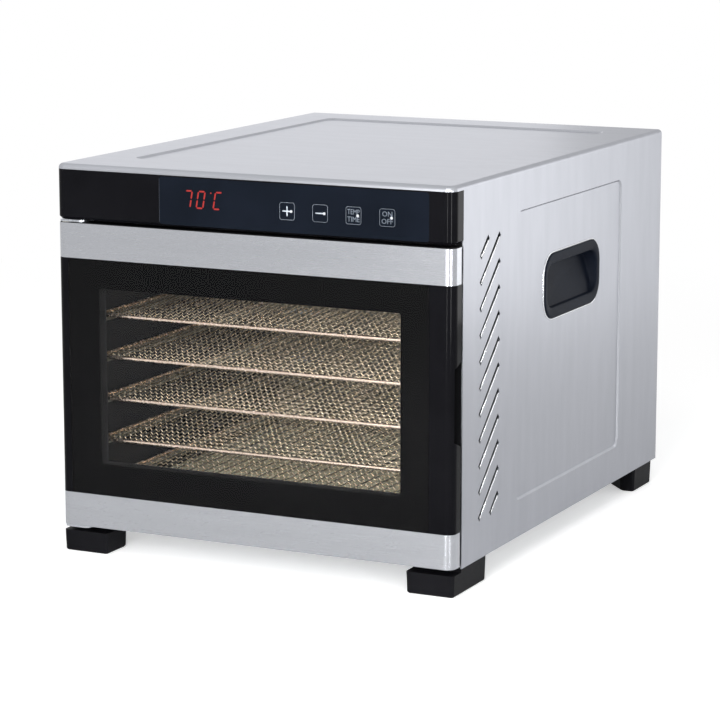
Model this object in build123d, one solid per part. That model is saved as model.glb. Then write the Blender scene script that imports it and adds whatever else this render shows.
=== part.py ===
from build123d import *
import math
import os

# Six-tray warm-air drying oven for a dental laboratory.
# Units are millimetres. +X is the viewer's right, +Y is the back and +Z is up.
# The origin is at the bottom centre of the whole oven, between its feet.

os.makedirs("parts", exist_ok=True)

# ---------------------------------------------------------------- driving sizes

# Cabinet shell
cabinet_width = 345.0
shell_depth = 430.0
shell_height = 295.0
sheet = 1.0
bend_radius = 3.8
hood_drop = 4.4
rear_flange = 12.0
fit_gap = 0.3
overcut = 1.0
edge_reach = 0.01

# Sunk panels pressed into the shell
sink_depth = 1.5
sink_corner = 8.0
sink_slope = 45.0
side_sink_front = 105.0
side_sink_rear = 97.0
side_sink_low = 30.0
side_sink_top = 33.0
top_sink_inset = 38.0

# Louvres on both sides
louvre_angle = 43.0
louvre_width = 4.4
louvre_flap = 0.3
louvre_pitch = 20.4
louvre_front = 34.0
louvre_band = 34.0
louvre_low = 32.8
louvre_top = 46.7
louvre_shortest = 10.0

# Feet
foot_height = 20.0
foot_width = 40.5
foot_tip_width = 12.5
foot_cut_length = 32.0
foot_step = 2.8
foot_taper = 2.0
foot_edge = 2.0
front_foot_length = 63.0
front_foot_setback = 2.5
front_foot_screw = 40.0
rear_foot_length = 44.0
rear_foot_setback = 10.5
rear_foot_screw = 22.0
foot_well = 10.0
foot_well_depth = 12.0

# Screws, drawn six-sided together with their holes
screw_sides = 6
foot_screw_inset = 14.5
foot_screw_radius = 2.0
foot_screw_head = 3.6
foot_screw_head_height = 2.0
foot_screw_grip = 3.0
rear_screw_radius = 1.5
rear_screw_head = 3.0
rear_screw_head_height = 2.0
rear_screw_length = 6.0

# Door
door_thickness = 14.5
door_gap = 2.5
door_low = 2.4
door_top_gap = 2.8
lower_bar_height = 27.2
upper_bar_height = 27.9
bar_sheet = 0.8
glass_thickness = 4.0
glass_left_margin = 10.4
glass_right_margin = 20.3
glass_corner = 4.0
glass_gap = 0.2
mask_thickness = 0.3
window_left = 36.2
window_right = 45.2
window_low_margin = 25.1
window_top_margin = 23.8
window_corner = 2.0
frame_rim = 12.0
inner_frame_sheet = 0.8
inner_frame_gap = 1.0
finger_low = 95.5
finger_length = 66.5
finger_depth = 10.0
finger_lip = 4.0
finger_flare = 5.0

# Hinge
hinge_pin_radius = 2.5
hinge_running_gap = 0.05
hinge_pin_reach = 12.0
bush_depth = 13.0
bush_wall = 1.5
bush_flange_wall = 1.6
bush_flange = 0.5
bracket_sheet = 1.6
bracket_setback = 2.0
bracket_gap = 0.6
bracket_width = 24.0
bracket_leg = 8.0

# Magnet catch
catch_height = 190.0
catch_length = 40.0
catch_side_gap = 1.2
catch_depth = 14.0
catch_stand = 0.5
catch_flange = 4.0
strike_thickness = 2.4
strike_proud = 1.2

# Door seal
seal_width = 4.0
seal_squeeze_gap = 0.3
seal_margin = 4.0

# Control panel
fascia_drop = 44.0
fascia_wall = 3.0
fascia_edge = 2.0
overlay_left = 94.0
overlay_right = 20.6
overlay_edge = 1.2
overlay_thickness = 0.8
overlay_sunk = 0.2
overlay_corner = 2.5
key_width = 13.3
key_height = 13.8
key_corner = 2.0
key_pitch = 28.1
key_inset = 55.0
key_rise = 17.6
key_gap = 0.3
key_travel = 0.5
key_count = 4
key_flange = 1.2
key_flange_thickness = 0.8
switch_gap = 0.3
switch_size = 6.0
board_thickness = 1.6
board_setback = 10.0
board_margin = 8.0
board_height = 30.0
display_inset = 133.0
display_width = 50.0
display_height = 22.0
display_rise = 23.0

# Oven chamber
side_space = 18.5
floor_space = 20.0
roof_space = 63.0
rear_space = 102.0
liner_flange = 8.0
frame_return = 10.0

# Trays
tray_names = ("tray_1", "tray_2", "tray_3", "tray_4", "tray_5", "tray_6")
tray_side_gap = 4.0
tray_front_gap = 3.5
tray_rear_gap = 4.5
tray_low_space = 17.2
tray_top_space = 25.8
tray_corner = 4.0
tray_rod = 3.0
rod_sides = 8
mesh_wire = 1.4
mesh_pitch = 25.0
mesh_edge = 1.6
mesh_layer_gap = 0.1
runner_sheet = 1.2
runner_width = 9.0
runner_leg = 7.0
runner_gap = 0.3

# Air circulation
baffle_sheet = 1.0
intake_hole = 4.0
intake_sides = 6
intake_pitch = 14.0
intake_rings = 2
outlet_length = 34.0
outlet_width = 5.0
outlet_pitch = 22.0
outlet_count = 7
outlet_wall_gap = 12.0
fan_radius = 62.0
fan_width = 18.0
fan_disc = 1.2
fan_hub_radius = 9.0
fan_blades = 12
fan_blade_sheet = 1.6
fan_blade_root = 28.0
fan_front_gap = 8.0
shaft_radius = 3.0
motor_size = 60.0
motor_corner = 9.0
motor_stack = 24.0
motor_length = 38.0
motor_gap = 6.0
motor_boss_radius = 11.0
motor_boss_length = 3.0
strap_sheet = 1.5
strap_side_gap = 3.0
strap_foot = 16.0
strap_gap = 2.0
heater_gap = 14.5
heater_rod = 3.5
heater_opening = 70.0
heater_setback = 14.0
heater_tail = 30.0
heater_bends = 16
clip_width = 8.0
clip_sheet = 1.2
cutout_radius = 8.0
cutout_length = 6.0

# Back
vent_length = 70.0
vent_width = 4.0
vent_pitch = 12.0
vent_count = 8
vent_middle_gap = 50.0
inlet_inset = 54.5
inlet_z = 60.0
inlet_width = 28.0
inlet_height = 21.0
inlet_flange_width = 48.0
inlet_flange_height = 28.0
inlet_flange = 2.5
inlet_depth = 18.0
inlet_wall = 2.0
inlet_corner = 3.0
inlet_pin_width = 2.0
inlet_pin_height = 4.0
inlet_pin_length = 16.0
inlet_pin_spacing = 7.0
inlet_pin_offset = 2.0

# Carry handles
handle_length = 121.0
handle_height = 53.0
handle_corner = 18.0
handle_end_rim = 7.0
handle_edge_rim = 8.75
handle_setback = 4.3
handle_drop = 69.7
handle_wall = 1.4
handle_liner_gap = 1.6
handle_shallow = 3.0
handle_crown = 0.9

# ------------------------------------------------------------ planes worked out

half_width = cabinet_width / 2
key_first_x = half_width - key_inset - (key_count - 1) * key_pitch
display_centre_x = -half_width + display_inset
inlet_x = -half_width + inlet_inset
inner_x = half_width - sheet
total_depth = door_thickness + door_gap + shell_depth + rear_screw_head_height
front_y = -total_depth / 2
door_back_y = front_y + door_thickness
shell_front_y = door_back_y + door_gap
shell_rear_y = shell_front_y + shell_depth
frame_back_y = shell_front_y + sheet
rear_panel_y = shell_rear_y - sheet
shell_low_z = foot_height
shell_top_z = foot_height + shell_height
pan_top_z = shell_low_z + sheet
fascia_low_z = shell_top_z - fascia_drop
fascia_top_z = shell_top_z - hood_drop
door_low_z = shell_low_z + door_low
door_high_z = fascia_low_z - door_top_gap
lower_bar_z = door_low_z + lower_bar_height
upper_bar_z = door_high_z - upper_bar_height
end_radius = door_thickness / 2
hinge_x = -half_width + end_radius
hinge_y = front_y + end_radius
chamber_half_width = half_width - side_space
liner_outer_x = chamber_half_width + sheet
floor_z = shell_low_z + floor_space
ceiling_z = shell_top_z - roof_space
baffle_y = shell_rear_y - rear_space
chamber_length = baffle_y - frame_back_y
fan_z = (floor_z + ceiling_z) / 2
seal_inner_x = chamber_half_width + seal_margin
seal_low_z = floor_z - seal_margin
seal_high_z = ceiling_z + seal_margin
tray_width = 2 * (chamber_half_width - tray_side_gap)
tray_front_y = shell_front_y + tray_front_gap
tray_depth = baffle_y - tray_rear_gap - tray_front_y
tray_middle_y = tray_front_y + tray_depth / 2
tray_low_z = floor_z + tray_low_space
tray_pitch = (ceiling_z - tray_top_space - tray_low_z) / (len(tray_names) - 1)
outlet_x = chamber_half_width - outlet_wall_gap - outlet_length / 2
heater_radius = fan_radius + heater_gap + heater_rod
vent_x = (vent_middle_gap + vent_length) / 2
inlet_place_z = shell_low_z + inlet_z
side_sink_length = shell_depth - side_sink_front - side_sink_rear
side_sink_height = shell_height - side_sink_low - side_sink_top
side_sink_y = shell_front_y + side_sink_front + side_sink_length / 2
side_sink_z = shell_low_z + side_sink_low + side_sink_height / 2
louvre_high = shell_height - louvre_top
handle_y = side_sink_y + handle_setback
handle_z = shell_top_z - side_sink_top - handle_drop
handle_deep = side_space - sheet - sink_depth - handle_wall - handle_liner_gap



# ---------------------------------------------------------------- shared shapes


def block(x, y, z):
    """Solid between two corners, each axis given as a (low, high) pair."""
    size = Box(x[1] - x[0], y[1] - y[0], z[1] - z[0])
    return Pos((x[0] + x[1]) / 2, (y[0] + y[1]) / 2, (z[0] + z[1]) / 2) * size


def mirrored(shape):
    """The same shape on the other side of the oven's middle plane."""
    return mirror(shape, about=Plane.YZ)


def edges_at(shape, axis, place):
    """Edges that lie wholly at one place along an axis."""
    return shape.edges().filter_by_position(axis, place - edge_reach, place + edge_reach)


def front_plate(x, z, y, corner=0.0):
    """Thin plate facing the front, with rounded corners, between (low, high) pairs."""
    width = x[1] - x[0]
    height = z[1] - z[0]
    outline = RectangleRounded(width, height, corner) if corner else Rectangle(width, height)
    centre = Plane(((x[0] + x[1]) / 2, y[0], (z[0] + z[1]) / 2), x_dir=(1, 0, 0), z_dir=(0, 1, 0))
    return extrude(centre * outline, y[1] - y[0])


def hood_plan(inset):
    """Plan of the fascia and of the hood above it: rounded in front, straight at the back."""
    depth = shell_front_y - front_y - inset
    outline = Rectangle(2 * (half_width - inset), depth)
    outline = fillet(outline.vertices().group_by(Axis.Y)[0], end_radius - inset)
    return Pos(0, shell_front_y - depth / 2) * outline


def door_plan(inset):
    """Plan of the door: a full round about the hinge pin, and a rounded corner at the free end."""
    free_x = half_width - inset
    depth = door_thickness - 2 * inset
    slab = Rectangle(free_x - hinge_x, depth)
    slab = fillet(slab.vertices().sort_by(Axis.Y)[:2].sort_by(Axis.X)[-1:], end_radius - inset)
    slab = Pos((free_x + hinge_x) / 2, hinge_y) * slab
    return slab + Pos(hinge_x, hinge_y) * Circle(depth / 2)


def cut_corners(width, height, corner):
    """Rectangle with its four corners cut off at 45 degrees."""
    return chamfer(Rectangle(width, height).vertices(), corner)


def rise(plan, low, high):
    """A plan drawn on the ground, raised between two heights."""
    return extrude(Pos(0, 0, low) * plan, high - low)


def folded_sheet(points, wall, length, plane):
    """Sheet folded along a centre line, drawn on a plane and run out along its normal."""
    line = FilletPolyline(*points, radius=wall)
    return extrude(plane * trace(line, wall), length)


def screw(head_radius, head_height, shank_radius, shank_length):
    """Screw with its head standing on the ground and its shank below."""
    head = extrude(RegularPolygon(head_radius, screw_sides), head_height)
    return head + extrude(RegularPolygon(shank_radius, screw_sides), -shank_length)


# --------------------------------------------------------------- outer sheet set


def sink(plane, width, height, depth):
    """Shallow pressed panel: a rounded rectangle that narrows at 45 degrees as it goes in."""
    return extrude(plane * RectangleRounded(width, height, sink_corner), depth, taper=sink_slope)


def side_sink(x):
    """Pressed panel of the right side, starting at the sheet surface at x."""
    plane = Plane((x, side_sink_y, side_sink_z), x_dir=(0, 1, 0), z_dir=(-1, 0, 0))
    return sink(plane, side_sink_length, side_sink_height, sink_depth)


def top_sink(z):
    """Pressed panel of the top, starting at the sheet surface at z."""
    plane = Plane((0, shell_front_y + shell_depth / 2, z), x_dir=(1, 0, 0), z_dir=(0, 0, -1))
    width = cabinet_width - 2 * top_sink_inset
    length = shell_depth - 2 * top_sink_inset
    return sink(plane, width, length, sink_depth)


def louvre_spans():
    """Start and end of every louvre, as (y, z) pairs clipped to the louvre band."""
    slope = math.tan(math.radians(louvre_angle))
    rise_over_band = louvre_band * slope
    count = int((louvre_high - louvre_low + rise_over_band) / louvre_pitch) + 1
    spans = []
    for number in range(count):
        line_low = louvre_low + (number - 1) * louvre_pitch
        low = max(line_low, louvre_low)
        high = min(line_low + rise_over_band, louvre_high)
        if (high - low) / math.sin(math.radians(louvre_angle)) < louvre_shortest:
            continue
        start = louvre_front + (low - line_low) / slope
        end = louvre_front + (high - line_low) / slope
        spans.append(((start, low), (end, high)))
    return spans


def louvre(span):
    """One slot of the right side, and the flap that is bent in from its lower edge."""
    (start_y, start_z), (end_y, end_z) = span
    along = Vector(0, end_y - start_y, end_z - start_z)
    down = Vector(0, along.Z, -along.Y).normalized()
    start = Vector(half_width, shell_front_y + start_y, shell_low_z + start_z)
    slot_plane = Plane(start + along / 2, x_dir=along, z_dir=(-1, 0, 0))
    slot = extrude(slot_plane * Rectangle(along.length + louvre_width, louvre_width), sheet)
    flap_plane = Plane(start, x_dir=down, z_dir=along)
    edge = louvre_width / 2
    fold = [(edge, 0), (edge - louvre_flap, louvre_flap)]
    fold += [(edge - louvre_flap, louvre_flap + sheet), (edge, sheet)]
    flap = extrude(flap_plane * make_face(Polyline(*fold, close=True)), along.length)
    return slot, flap


def handle_plane(x):
    """Plane at the middle of the right handle, looking into the oven."""
    return Plane((x, handle_y, handle_z), x_dir=(0, 1, 0), z_dir=(-1, 0, 0))


def handle_outline(grow):
    """Opening of the handle cup, grown by a margin."""
    length = handle_length - 2 * handle_end_rim + 2 * grow
    height = handle_height - 2 * handle_edge_rim + 2 * grow
    return RectangleRounded(length, height, handle_corner - handle_end_rim + grow)


def bent_edges(shape, height, rear_y):
    """Edges round the top of the wrap that are bent over: all but the rear one."""
    return [edge for edge in edges_at(shape, Axis.Z, height) if edge.center().Y < rear_y - 1]


def outer_wrap():
    """Top and both sides bent from one sheet, with the hood over the control panel."""
    under_top = shell_top_z - sheet
    wide = (-half_width, half_width)
    shell = block(wide, (shell_front_y, shell_rear_y), (shell_low_z, shell_top_z))
    outer = shell + rise(hood_plan(0), fascia_top_z, shell_top_z)
    outer = fillet(bent_edges(outer, shell_top_z, shell_rear_y), bend_radius)
    inside = (-inner_x, inner_x)
    hollow = block(inside, (shell_front_y, rear_panel_y), (shell_low_z - 1, under_top))
    hollow = hollow + rise(hood_plan(sheet), fascia_top_z - 1, under_top)
    hollow = fillet(bent_edges(hollow, under_top, rear_panel_y), bend_radius - sheet)
    border_x = inner_x - rear_flange
    border_z = (shell_low_z - 1, under_top - rear_flange)
    rear_opening = block((-border_x, border_x), (rear_panel_y - overcut, shell_rear_y + overcut), border_z)
    wrap = outer - hollow - rear_opening
    bulges = [side_sink(inner_x), mirrored(side_sink(inner_x)), top_sink(under_top)]
    sinks = [side_sink(half_width), mirrored(side_sink(half_width)), top_sink(shell_top_z)]
    wrap = wrap + bulges - sinks
    hole_depth = sink_depth + 2 * sheet
    slots = [extrude(handle_plane(half_width) * handle_outline(handle_wall + fit_gap), hole_depth)]
    flaps = []
    for span in louvre_spans():
        slot, flap = louvre(span)
        slots.append(slot)
        flaps.append(flap)
    slots += [mirrored(slot) for slot in slots]
    flaps += [mirrored(flap) for flap in flaps]
    return wrap - slots - rear_screws() + flaps


def base_pan():
    """Floor sheet of the cabinet, with its sides folded up inside the wrap."""
    x = inner_x - sheet / 2
    low = shell_low_z + sheet / 2
    high = shell_low_z + frame_return
    fold = [(-x, high), (-x, low), (x, low), (x, high)]
    length = rear_panel_y - sheet - frame_back_y
    plane = Plane((0, rear_panel_y - sheet, 0), x_dir=(1, 0, 0), z_dir=(0, -1, 0))
    return folded_sheet(fold, sheet, length, plane) - foot_screws()


def front_frame():
    """Face sheet round the oven mouth, with its sides folded back inside the wrap."""
    top = shell_top_z - sheet - bend_radius
    plate = front_plate((-inner_x, inner_x), (shell_low_z, top), (shell_front_y, frame_back_y))
    mouth_x = (-chamber_half_width, chamber_half_width)
    mouth = front_plate(mouth_x, (floor_z, ceiling_z), (shell_front_y - overcut, frame_back_y + overcut))
    strip_y = (shell_front_y, shell_front_y + frame_return)
    strip = block((inner_x - sheet, inner_x), strip_y, (pan_top_z + frame_return, top))
    return plate + strip + mirrored(strip) - mouth - catch_window(fit_gap)


def rear_panel():
    """Back sheet behind the wrap's rear border, with vents and the cut-out for the inlet."""
    top = shell_top_z - sheet - bend_radius
    x = inner_x - fit_gap
    y = (rear_panel_y - sheet, rear_panel_y)
    panel = front_plate((-x, x), (shell_low_z, top), y)
    side_z = (pan_top_z + frame_return, top)
    side = block((x - sheet, x), (y[1] - frame_return, y[1]), side_z)
    vents = []
    for column in (-vent_x, vent_x):
        for number in range(vent_count):
            z = fan_z + (number - (vent_count - 1) / 2) * vent_pitch
            vents.append(Pos(column, y[0], z) * Box(vent_length, 4 * sheet, vent_width))
    inlet = Pos(inlet_x, y[0], inlet_place_z) * Box(inlet_width, 4 * sheet, inlet_height)
    return panel + side + mirrored(side) - vents - inlet - rear_screws()


# ------------------------------------------------------------------------- feet


def foot_ends(front):
    """Y of a foot's wide end and of its narrow end; front is True or False."""
    if front:
        near = front_y + front_foot_setback
        return near, near + front_foot_length
    near = shell_rear_y - rear_foot_setback
    return near, near - rear_foot_length


def foot_outline(front, side):
    """A foot seen from below: full width at its wide end, cut slantwise to a narrow tip."""
    near, far = foot_ends(front)
    step = foot_cut_length if front else -foot_cut_length
    inner = half_width - foot_width
    tip = half_width - foot_tip_width
    points = [(half_width, near), (half_width, far), (tip, far), (inner, far - step), (inner, near)]
    return make_face(Polyline(*[(side * x, -y) for x, y in points], close=True))


def foot_screw_places():
    """Screw axes of the four feet, in the part of each that lies behind the front frame."""
    x = half_width - foot_screw_inset
    front = foot_ends(True)[0] + front_foot_screw
    rear = foot_ends(False)[0] - rear_foot_screw
    return [(side * x, y) for y in (front, rear) for side in (-1, 1)]


def foot(front, side):
    """Moulded foot that narrows downwards, stepped under the door, with a deep screw well."""
    plane = Plane((0, 0, foot_height), x_dir=(1, 0, 0), z_dir=(0, 0, -1))
    outline = chamfer(foot_outline(front, side).vertices(), foot_edge)
    body = extrude(plane * outline, foot_height, taper=foot_taper)
    body = chamfer(edges_at(body, Axis.Z, 0), foot_edge / 2)
    low = foot_height - foot_step
    step = block((-half_width, half_width), (front_y, shell_front_y - fit_gap), (low, foot_height))
    well = Box(foot_well, foot_well, 2 * foot_well_depth)
    wells = [Pos(x, y, 0) * well for x, y in foot_screw_places()]
    return body - step - wells - foot_screws()


def foot_screws():
    """Four screws from the wells of the feet, through the base pan."""
    reach = pan_top_z + foot_screw_grip - foot_well_depth
    shape = screw(foot_screw_head, foot_screw_head_height, foot_screw_radius, reach)
    return [Pos(x, y, foot_well_depth) * Rot(180, 0, 0) * shape for x, y in foot_screw_places()]


# ------------------------------------------------------------------------- door


def bar_zone(upper):
    """Heights covered by the upper or the lower stainless bar."""
    if upper:
        return upper_bar_z, door_high_z
    return door_low_z, lower_bar_z


def door_end(upper):
    """Height of the upper or the lower end of the door, and the way out of it."""
    if upper:
        return door_high_z, 1
    return door_low_z, -1


def bush_hole(upper):
    """Six-sided hole for the hinge bush in the upper or the lower end of the door."""
    end, way = door_end(upper)
    outline = Pos(hinge_x, hinge_y, end) * RegularPolygon(hinge_pin_radius + bush_wall, screw_sides)
    return extrude(outline, -way * bush_depth)


def glass_place(grow):
    """Glass edges as (low, high) pairs along X and Z, grown by a margin."""
    x = (-half_width + glass_left_margin - grow, half_width - glass_right_margin + grow)
    z = (lower_bar_z - grow, upper_bar_z + grow)
    return x, z


def window_place(grow):
    """Clear window edges as (low, high) pairs along X and Z, grown by a margin."""
    x = (-half_width + window_left - grow, half_width - window_right + grow)
    z = (lower_bar_z + window_low_margin - grow, upper_bar_z - window_top_margin + grow)
    return x, z


def finger_recess():
    """Pocket in the free end of the door, open to the side and the back, with flared ends."""
    lip_y = front_y + finger_lip
    back_y = door_back_y + 1
    low = shell_low_z + finger_low
    high = low + finger_length
    outline = [(lip_y, low + finger_flare), (lip_y, high - finger_flare)]
    outline += [(back_y, high), (back_y, low)]
    plane = Plane((half_width - finger_depth, 0, 0), x_dir=(0, 1, 0), z_dir=(1, 0, 0))
    return extrude(plane * make_face(Polyline(*outline, close=True)), finger_depth + overcut)


def door_frame():
    """Black door body: rounded ends, seats for glass and bars, finger recess and window."""
    lower = rise(door_plan(bar_sheet), door_low_z + bar_sheet, lower_bar_z)
    middle = rise(door_plan(0), lower_bar_z, upper_bar_z)
    upper = rise(door_plan(bar_sheet), upper_bar_z, door_high_z - bar_sheet)
    body = lower + middle + upper
    glass_x, glass_z = glass_place(glass_gap)
    seat_y = front_y + glass_thickness + mask_thickness
    seat = front_plate(glass_x, glass_z, (front_y - overcut, seat_y), glass_corner + glass_gap)
    hole_x, hole_z = window_place(frame_rim)
    hole = front_plate(hole_x, hole_z, (front_y, door_back_y + overcut))
    pockets = [finger_recess(), bush_hole(True), bush_hole(False), strike_plate()]
    return body - seat - hole - pockets


def door_bar(upper):
    """Stainless bar: front, both rounded ends and the closed outer edge of the door."""
    low, high = bar_zone(upper)
    skin = rise(door_plan(0), low, high)
    core_low = low - 1 if upper else low + bar_sheet
    core_high = high - bar_sheet if upper else high + 1
    core = rise(door_plan(bar_sheet), core_low, core_high)
    back_y = (door_back_y - bar_sheet, door_back_y + overcut)
    back = block((hinge_x, half_width + overcut), back_y, (core_low, core_high))
    return skin - core - back - bush_hole(upper)


def door_glass():
    """Toughened glass, flush with the front of the door."""
    x, z = glass_place(0)
    return front_plate(x, z, (front_y, front_y + glass_thickness), glass_corner)


def window_mask():
    """Black border printed on the back of the glass."""
    x, z = glass_place(0)
    y = (front_y + glass_thickness, front_y + glass_thickness + mask_thickness)
    hole_x, hole_z = window_place(0)
    hole = front_plate(hole_x, hole_z, (y[0] - overcut, y[1] + overcut), window_corner)
    return front_plate(x, z, y, glass_corner) - hole


def door_inner_frame():
    """Thin panel on the back of the door, inside the seal, with the window cut out."""
    x = seal_inner_x - inner_frame_gap
    z = (seal_low_z + inner_frame_gap, seal_high_z - inner_frame_gap)
    hole_x, hole_z = window_place(0)
    y = (door_back_y, door_back_y + inner_frame_sheet)
    return front_plate((-x, x), z, y) - front_plate(hole_x, hole_z, (y[0] - overcut, y[1] + overcut))


def door_seal():
    """Silicone seal on the back of the door, round the oven mouth."""
    x = seal_inner_x + seal_width
    z = (seal_low_z - seal_width, seal_high_z + seal_width)
    y = (door_back_y, shell_front_y - seal_squeeze_gap)
    outer = front_plate((-x, x), z, y, glass_corner)
    inner_z = (seal_low_z, seal_high_z)
    inner = front_plate((-seal_inner_x, seal_inner_x), inner_z, (y[0] - overcut, y[1] + overcut))
    return outer - inner


def catch_edges():
    """Edges of the magnet and its strike as (low, high) pairs along X and Z."""
    x = (seal_inner_x + seal_width + fit_gap, inner_x - sheet - catch_side_gap)
    z = shell_low_z + catch_height
    return x, (z - catch_length / 2, z + catch_length / 2)


def strike_plate():
    """Steel strike let into the back of the door."""
    x, z = catch_edges()
    y = (door_back_y + strike_proud - strike_thickness, door_back_y + strike_proud)
    return front_plate(x, z, y)


def catch_window(grow):
    """Cut-out of the front frame for the magnet, grown by a margin."""
    x, z = catch_edges()
    y = (shell_front_y - overcut, frame_back_y + overcut)
    return block((x[0] - grow, x[1] + grow), y, (z[0] - grow, z[1] + grow))


def magnet_catch():
    """Magnet block behind the front frame, with its face through the frame."""
    x, z = catch_edges()
    body = block(x, (shell_front_y - catch_stand, shell_front_y + catch_depth), z)
    ears_z = (z[0] - catch_flange, z[1] + catch_flange)
    ears = block((x[0], x[1]), (frame_back_y, frame_back_y + catch_flange), ears_z)
    return body + ears


def hinge_bracket(upper):
    """Folded bracket: a leg on the front frame and a plate over the end of the door."""
    end, way = door_end(upper)
    outer = -half_width + fit_gap
    inner = outer + bracket_width
    near = end + way * bracket_gap
    far = near + way * bracket_sheet
    reach = shell_front_y - front_y - bracket_setback
    plate = Rectangle(inner - outer, reach)
    plate = fillet(plate.vertices().group_by(Axis.Y)[0], end_radius - bracket_setback)
    plan = Pos((outer + inner) / 2, shell_front_y - reach / 2) * plate
    arm = extrude(Pos(0, 0, near) * plan, way * bracket_sheet)
    leg_y = (shell_front_y - bracket_sheet, shell_front_y)
    leg = block((outer, inner), leg_y, sorted((far, near - way * bracket_leg)))
    return arm + leg - hinge_pins()


def hinge_pins():
    """Two pins, one pressed into each bracket."""
    pins = []
    for upper in (True, False):
        end, way = door_end(upper)
        start = end + way * (bracket_gap + bracket_sheet)
        section = Pos(hinge_x, hinge_y, start) * Circle(hinge_pin_radius)
        pins.append(extrude(section, -way * (bracket_gap + bracket_sheet + hinge_pin_reach)))
    return pins


def hinge_bushes():
    """Two flanged six-sided bushes with a round bore, one in each end of the door."""
    bushes = []
    for upper in (True, False):
        end, way = door_end(upper)
        place = Pos(hinge_x, hinge_y, end)
        rim_radius = hinge_pin_radius + bush_wall + bush_flange_wall
        rim = extrude(place * RegularPolygon(rim_radius, screw_sides), way * bush_flange)
        bore = place * Cylinder(hinge_pin_radius + hinge_running_gap, 4 * bush_depth)
        bushes.append(bush_hole(upper) + rim - bore)
    return bushes


# ---------------------------------------------------------------- control panel


def overlay_place(grow):
    """Edges of the glossy panel as (low, high) pairs along X and Z, grown by a margin."""
    x = (-half_width + overlay_left - grow, half_width - overlay_right + grow)
    z = (fascia_low_z + overlay_edge - grow, fascia_top_z - overlay_edge + grow)
    return x, z


def key_plate(number, y, grow):
    """One key's outline, grown by a margin, between two places along Y."""
    centre = (key_first_x + number * key_pitch, y[0], fascia_low_z + key_rise)
    plane = Plane(centre, x_dir=(1, 0, 0), z_dir=(0, 1, 0))
    outline = cut_corners(key_width + 2 * grow, key_height + 2 * grow, key_corner)
    return extrude(plane * outline, y[1] - y[0])


def key_holes(y):
    """Holes for the four keys between two places along Y."""
    return [key_plate(number, y, key_gap) for number in range(key_count)]


def display_edges(grow):
    """Edges of the display block as (low, high) pairs along X and Z, grown by a margin."""
    half_x = display_width / 2 + grow
    half_z = display_height / 2 + grow
    z = fascia_low_z + display_rise
    return (display_centre_x - half_x, display_centre_x + half_x), (z - half_z, z + half_z)


def control_housing():
    """Moulded fascia under the hood, hollow behind, open towards the front frame."""
    body = rise(hood_plan(0), fascia_low_z, fascia_top_z)
    rims = edges_at(body, Axis.Z, fascia_low_z)
    rims = [edge for edge in rims if edge.center().Y < shell_front_y - fit_gap]
    body = chamfer(rims, fascia_edge)
    inside_z = (fascia_low_z + fascia_wall, fascia_top_z - fascia_wall)
    hollow = rise(hood_plan(fascia_wall), inside_z[0], inside_z[1])
    x, z = overlay_place(fit_gap / 3)
    recess_y = front_y + overlay_sunk + overlay_thickness
    recess = front_plate(x, z, (front_y - overcut, recess_y), overlay_corner)
    through = (front_y, front_y + fascia_wall + overcut)
    display_x, display_z = display_edges(fit_gap)
    return body - hollow - recess - block(display_x, through, display_z) - key_holes(through)


def control_overlay():
    """Glossy panel let into the fascia, with holes for the keys."""
    x, z = overlay_place(0)
    y = (front_y + overlay_sunk, front_y + overlay_sunk + overlay_thickness)
    return front_plate(x, z, y, overlay_corner) - key_holes((front_y, front_y + 2 * overcut))


def key(number):
    """Key cap that comes through the panel, with a flange that keeps it in."""
    flange_y = front_y + fascia_wall + fit_gap
    back_y = flange_y + key_flange_thickness
    face_y = front_y + overlay_sunk
    cap = key_plate(number, (face_y, back_y), 0)
    cap = chamfer(edges_at(cap, Axis.Y, face_y), fit_gap)
    return cap + key_plate(number, (flange_y, back_y), key_gap + key_flange)


def board_front_y():
    """Front face of the circuit board."""
    return front_y + board_setback


def control_board():
    """Circuit board behind the fascia, with a switch for each key and two posts."""
    y = board_front_y()
    back_y = y + board_thickness
    last_key_x = key_first_x + (key_count - 1) * key_pitch
    x = (display_edges(board_margin)[0][0], last_key_x + key_width)
    centre_z = (fascia_low_z + fascia_top_z) / 2
    board = block(x, (y, back_y), (centre_z - board_height / 2, centre_z + board_height / 2))
    switch_y = front_y + fascia_wall + fit_gap + key_flange_thickness + key_travel + switch_gap
    for number in range(key_count):
        place = (key_first_x + number * key_pitch, switch_y, fascia_low_z + key_rise)
        face = Plane(place, x_dir=(1, 0, 0), z_dir=(0, 1, 0)) * Rectangle(switch_size, switch_size)
        board = board + extrude(face, y - switch_y)
    for post_x in (x[0] + board_margin / 2, x[1] - board_margin / 2):
        plane = Plane((post_x, back_y, centre_z), x_dir=(1, 0, 0), z_dir=(0, 1, 0))
        post = RegularPolygon(board_margin / 3, screw_sides)
        board = board + extrude(plane * post, shell_front_y - back_y)
    return board


def display_module():
    """Seven-segment display block between the panel and the circuit board."""
    x, z = display_edges(0)
    return block(x, (front_y + overlay_sunk + overlay_thickness, board_front_y()), z)


# ----------------------------------------------------------------- oven chamber


def liner_side():
    """Right wall of the chamber, with its upper and lower edges folded outwards."""
    x = chamber_half_width + sheet / 2
    out = x + liner_flange
    low = floor_z + sheet / 2
    high = ceiling_z - sheet / 2
    plane = Plane((0, baffle_y, 0), x_dir=(1, 0, 0), z_dir=(0, -1, 0))
    fold = [(out, low), (x, low), (x, high), (out, high)]
    return folded_sheet(fold, sheet, chamber_length, plane)


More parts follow.
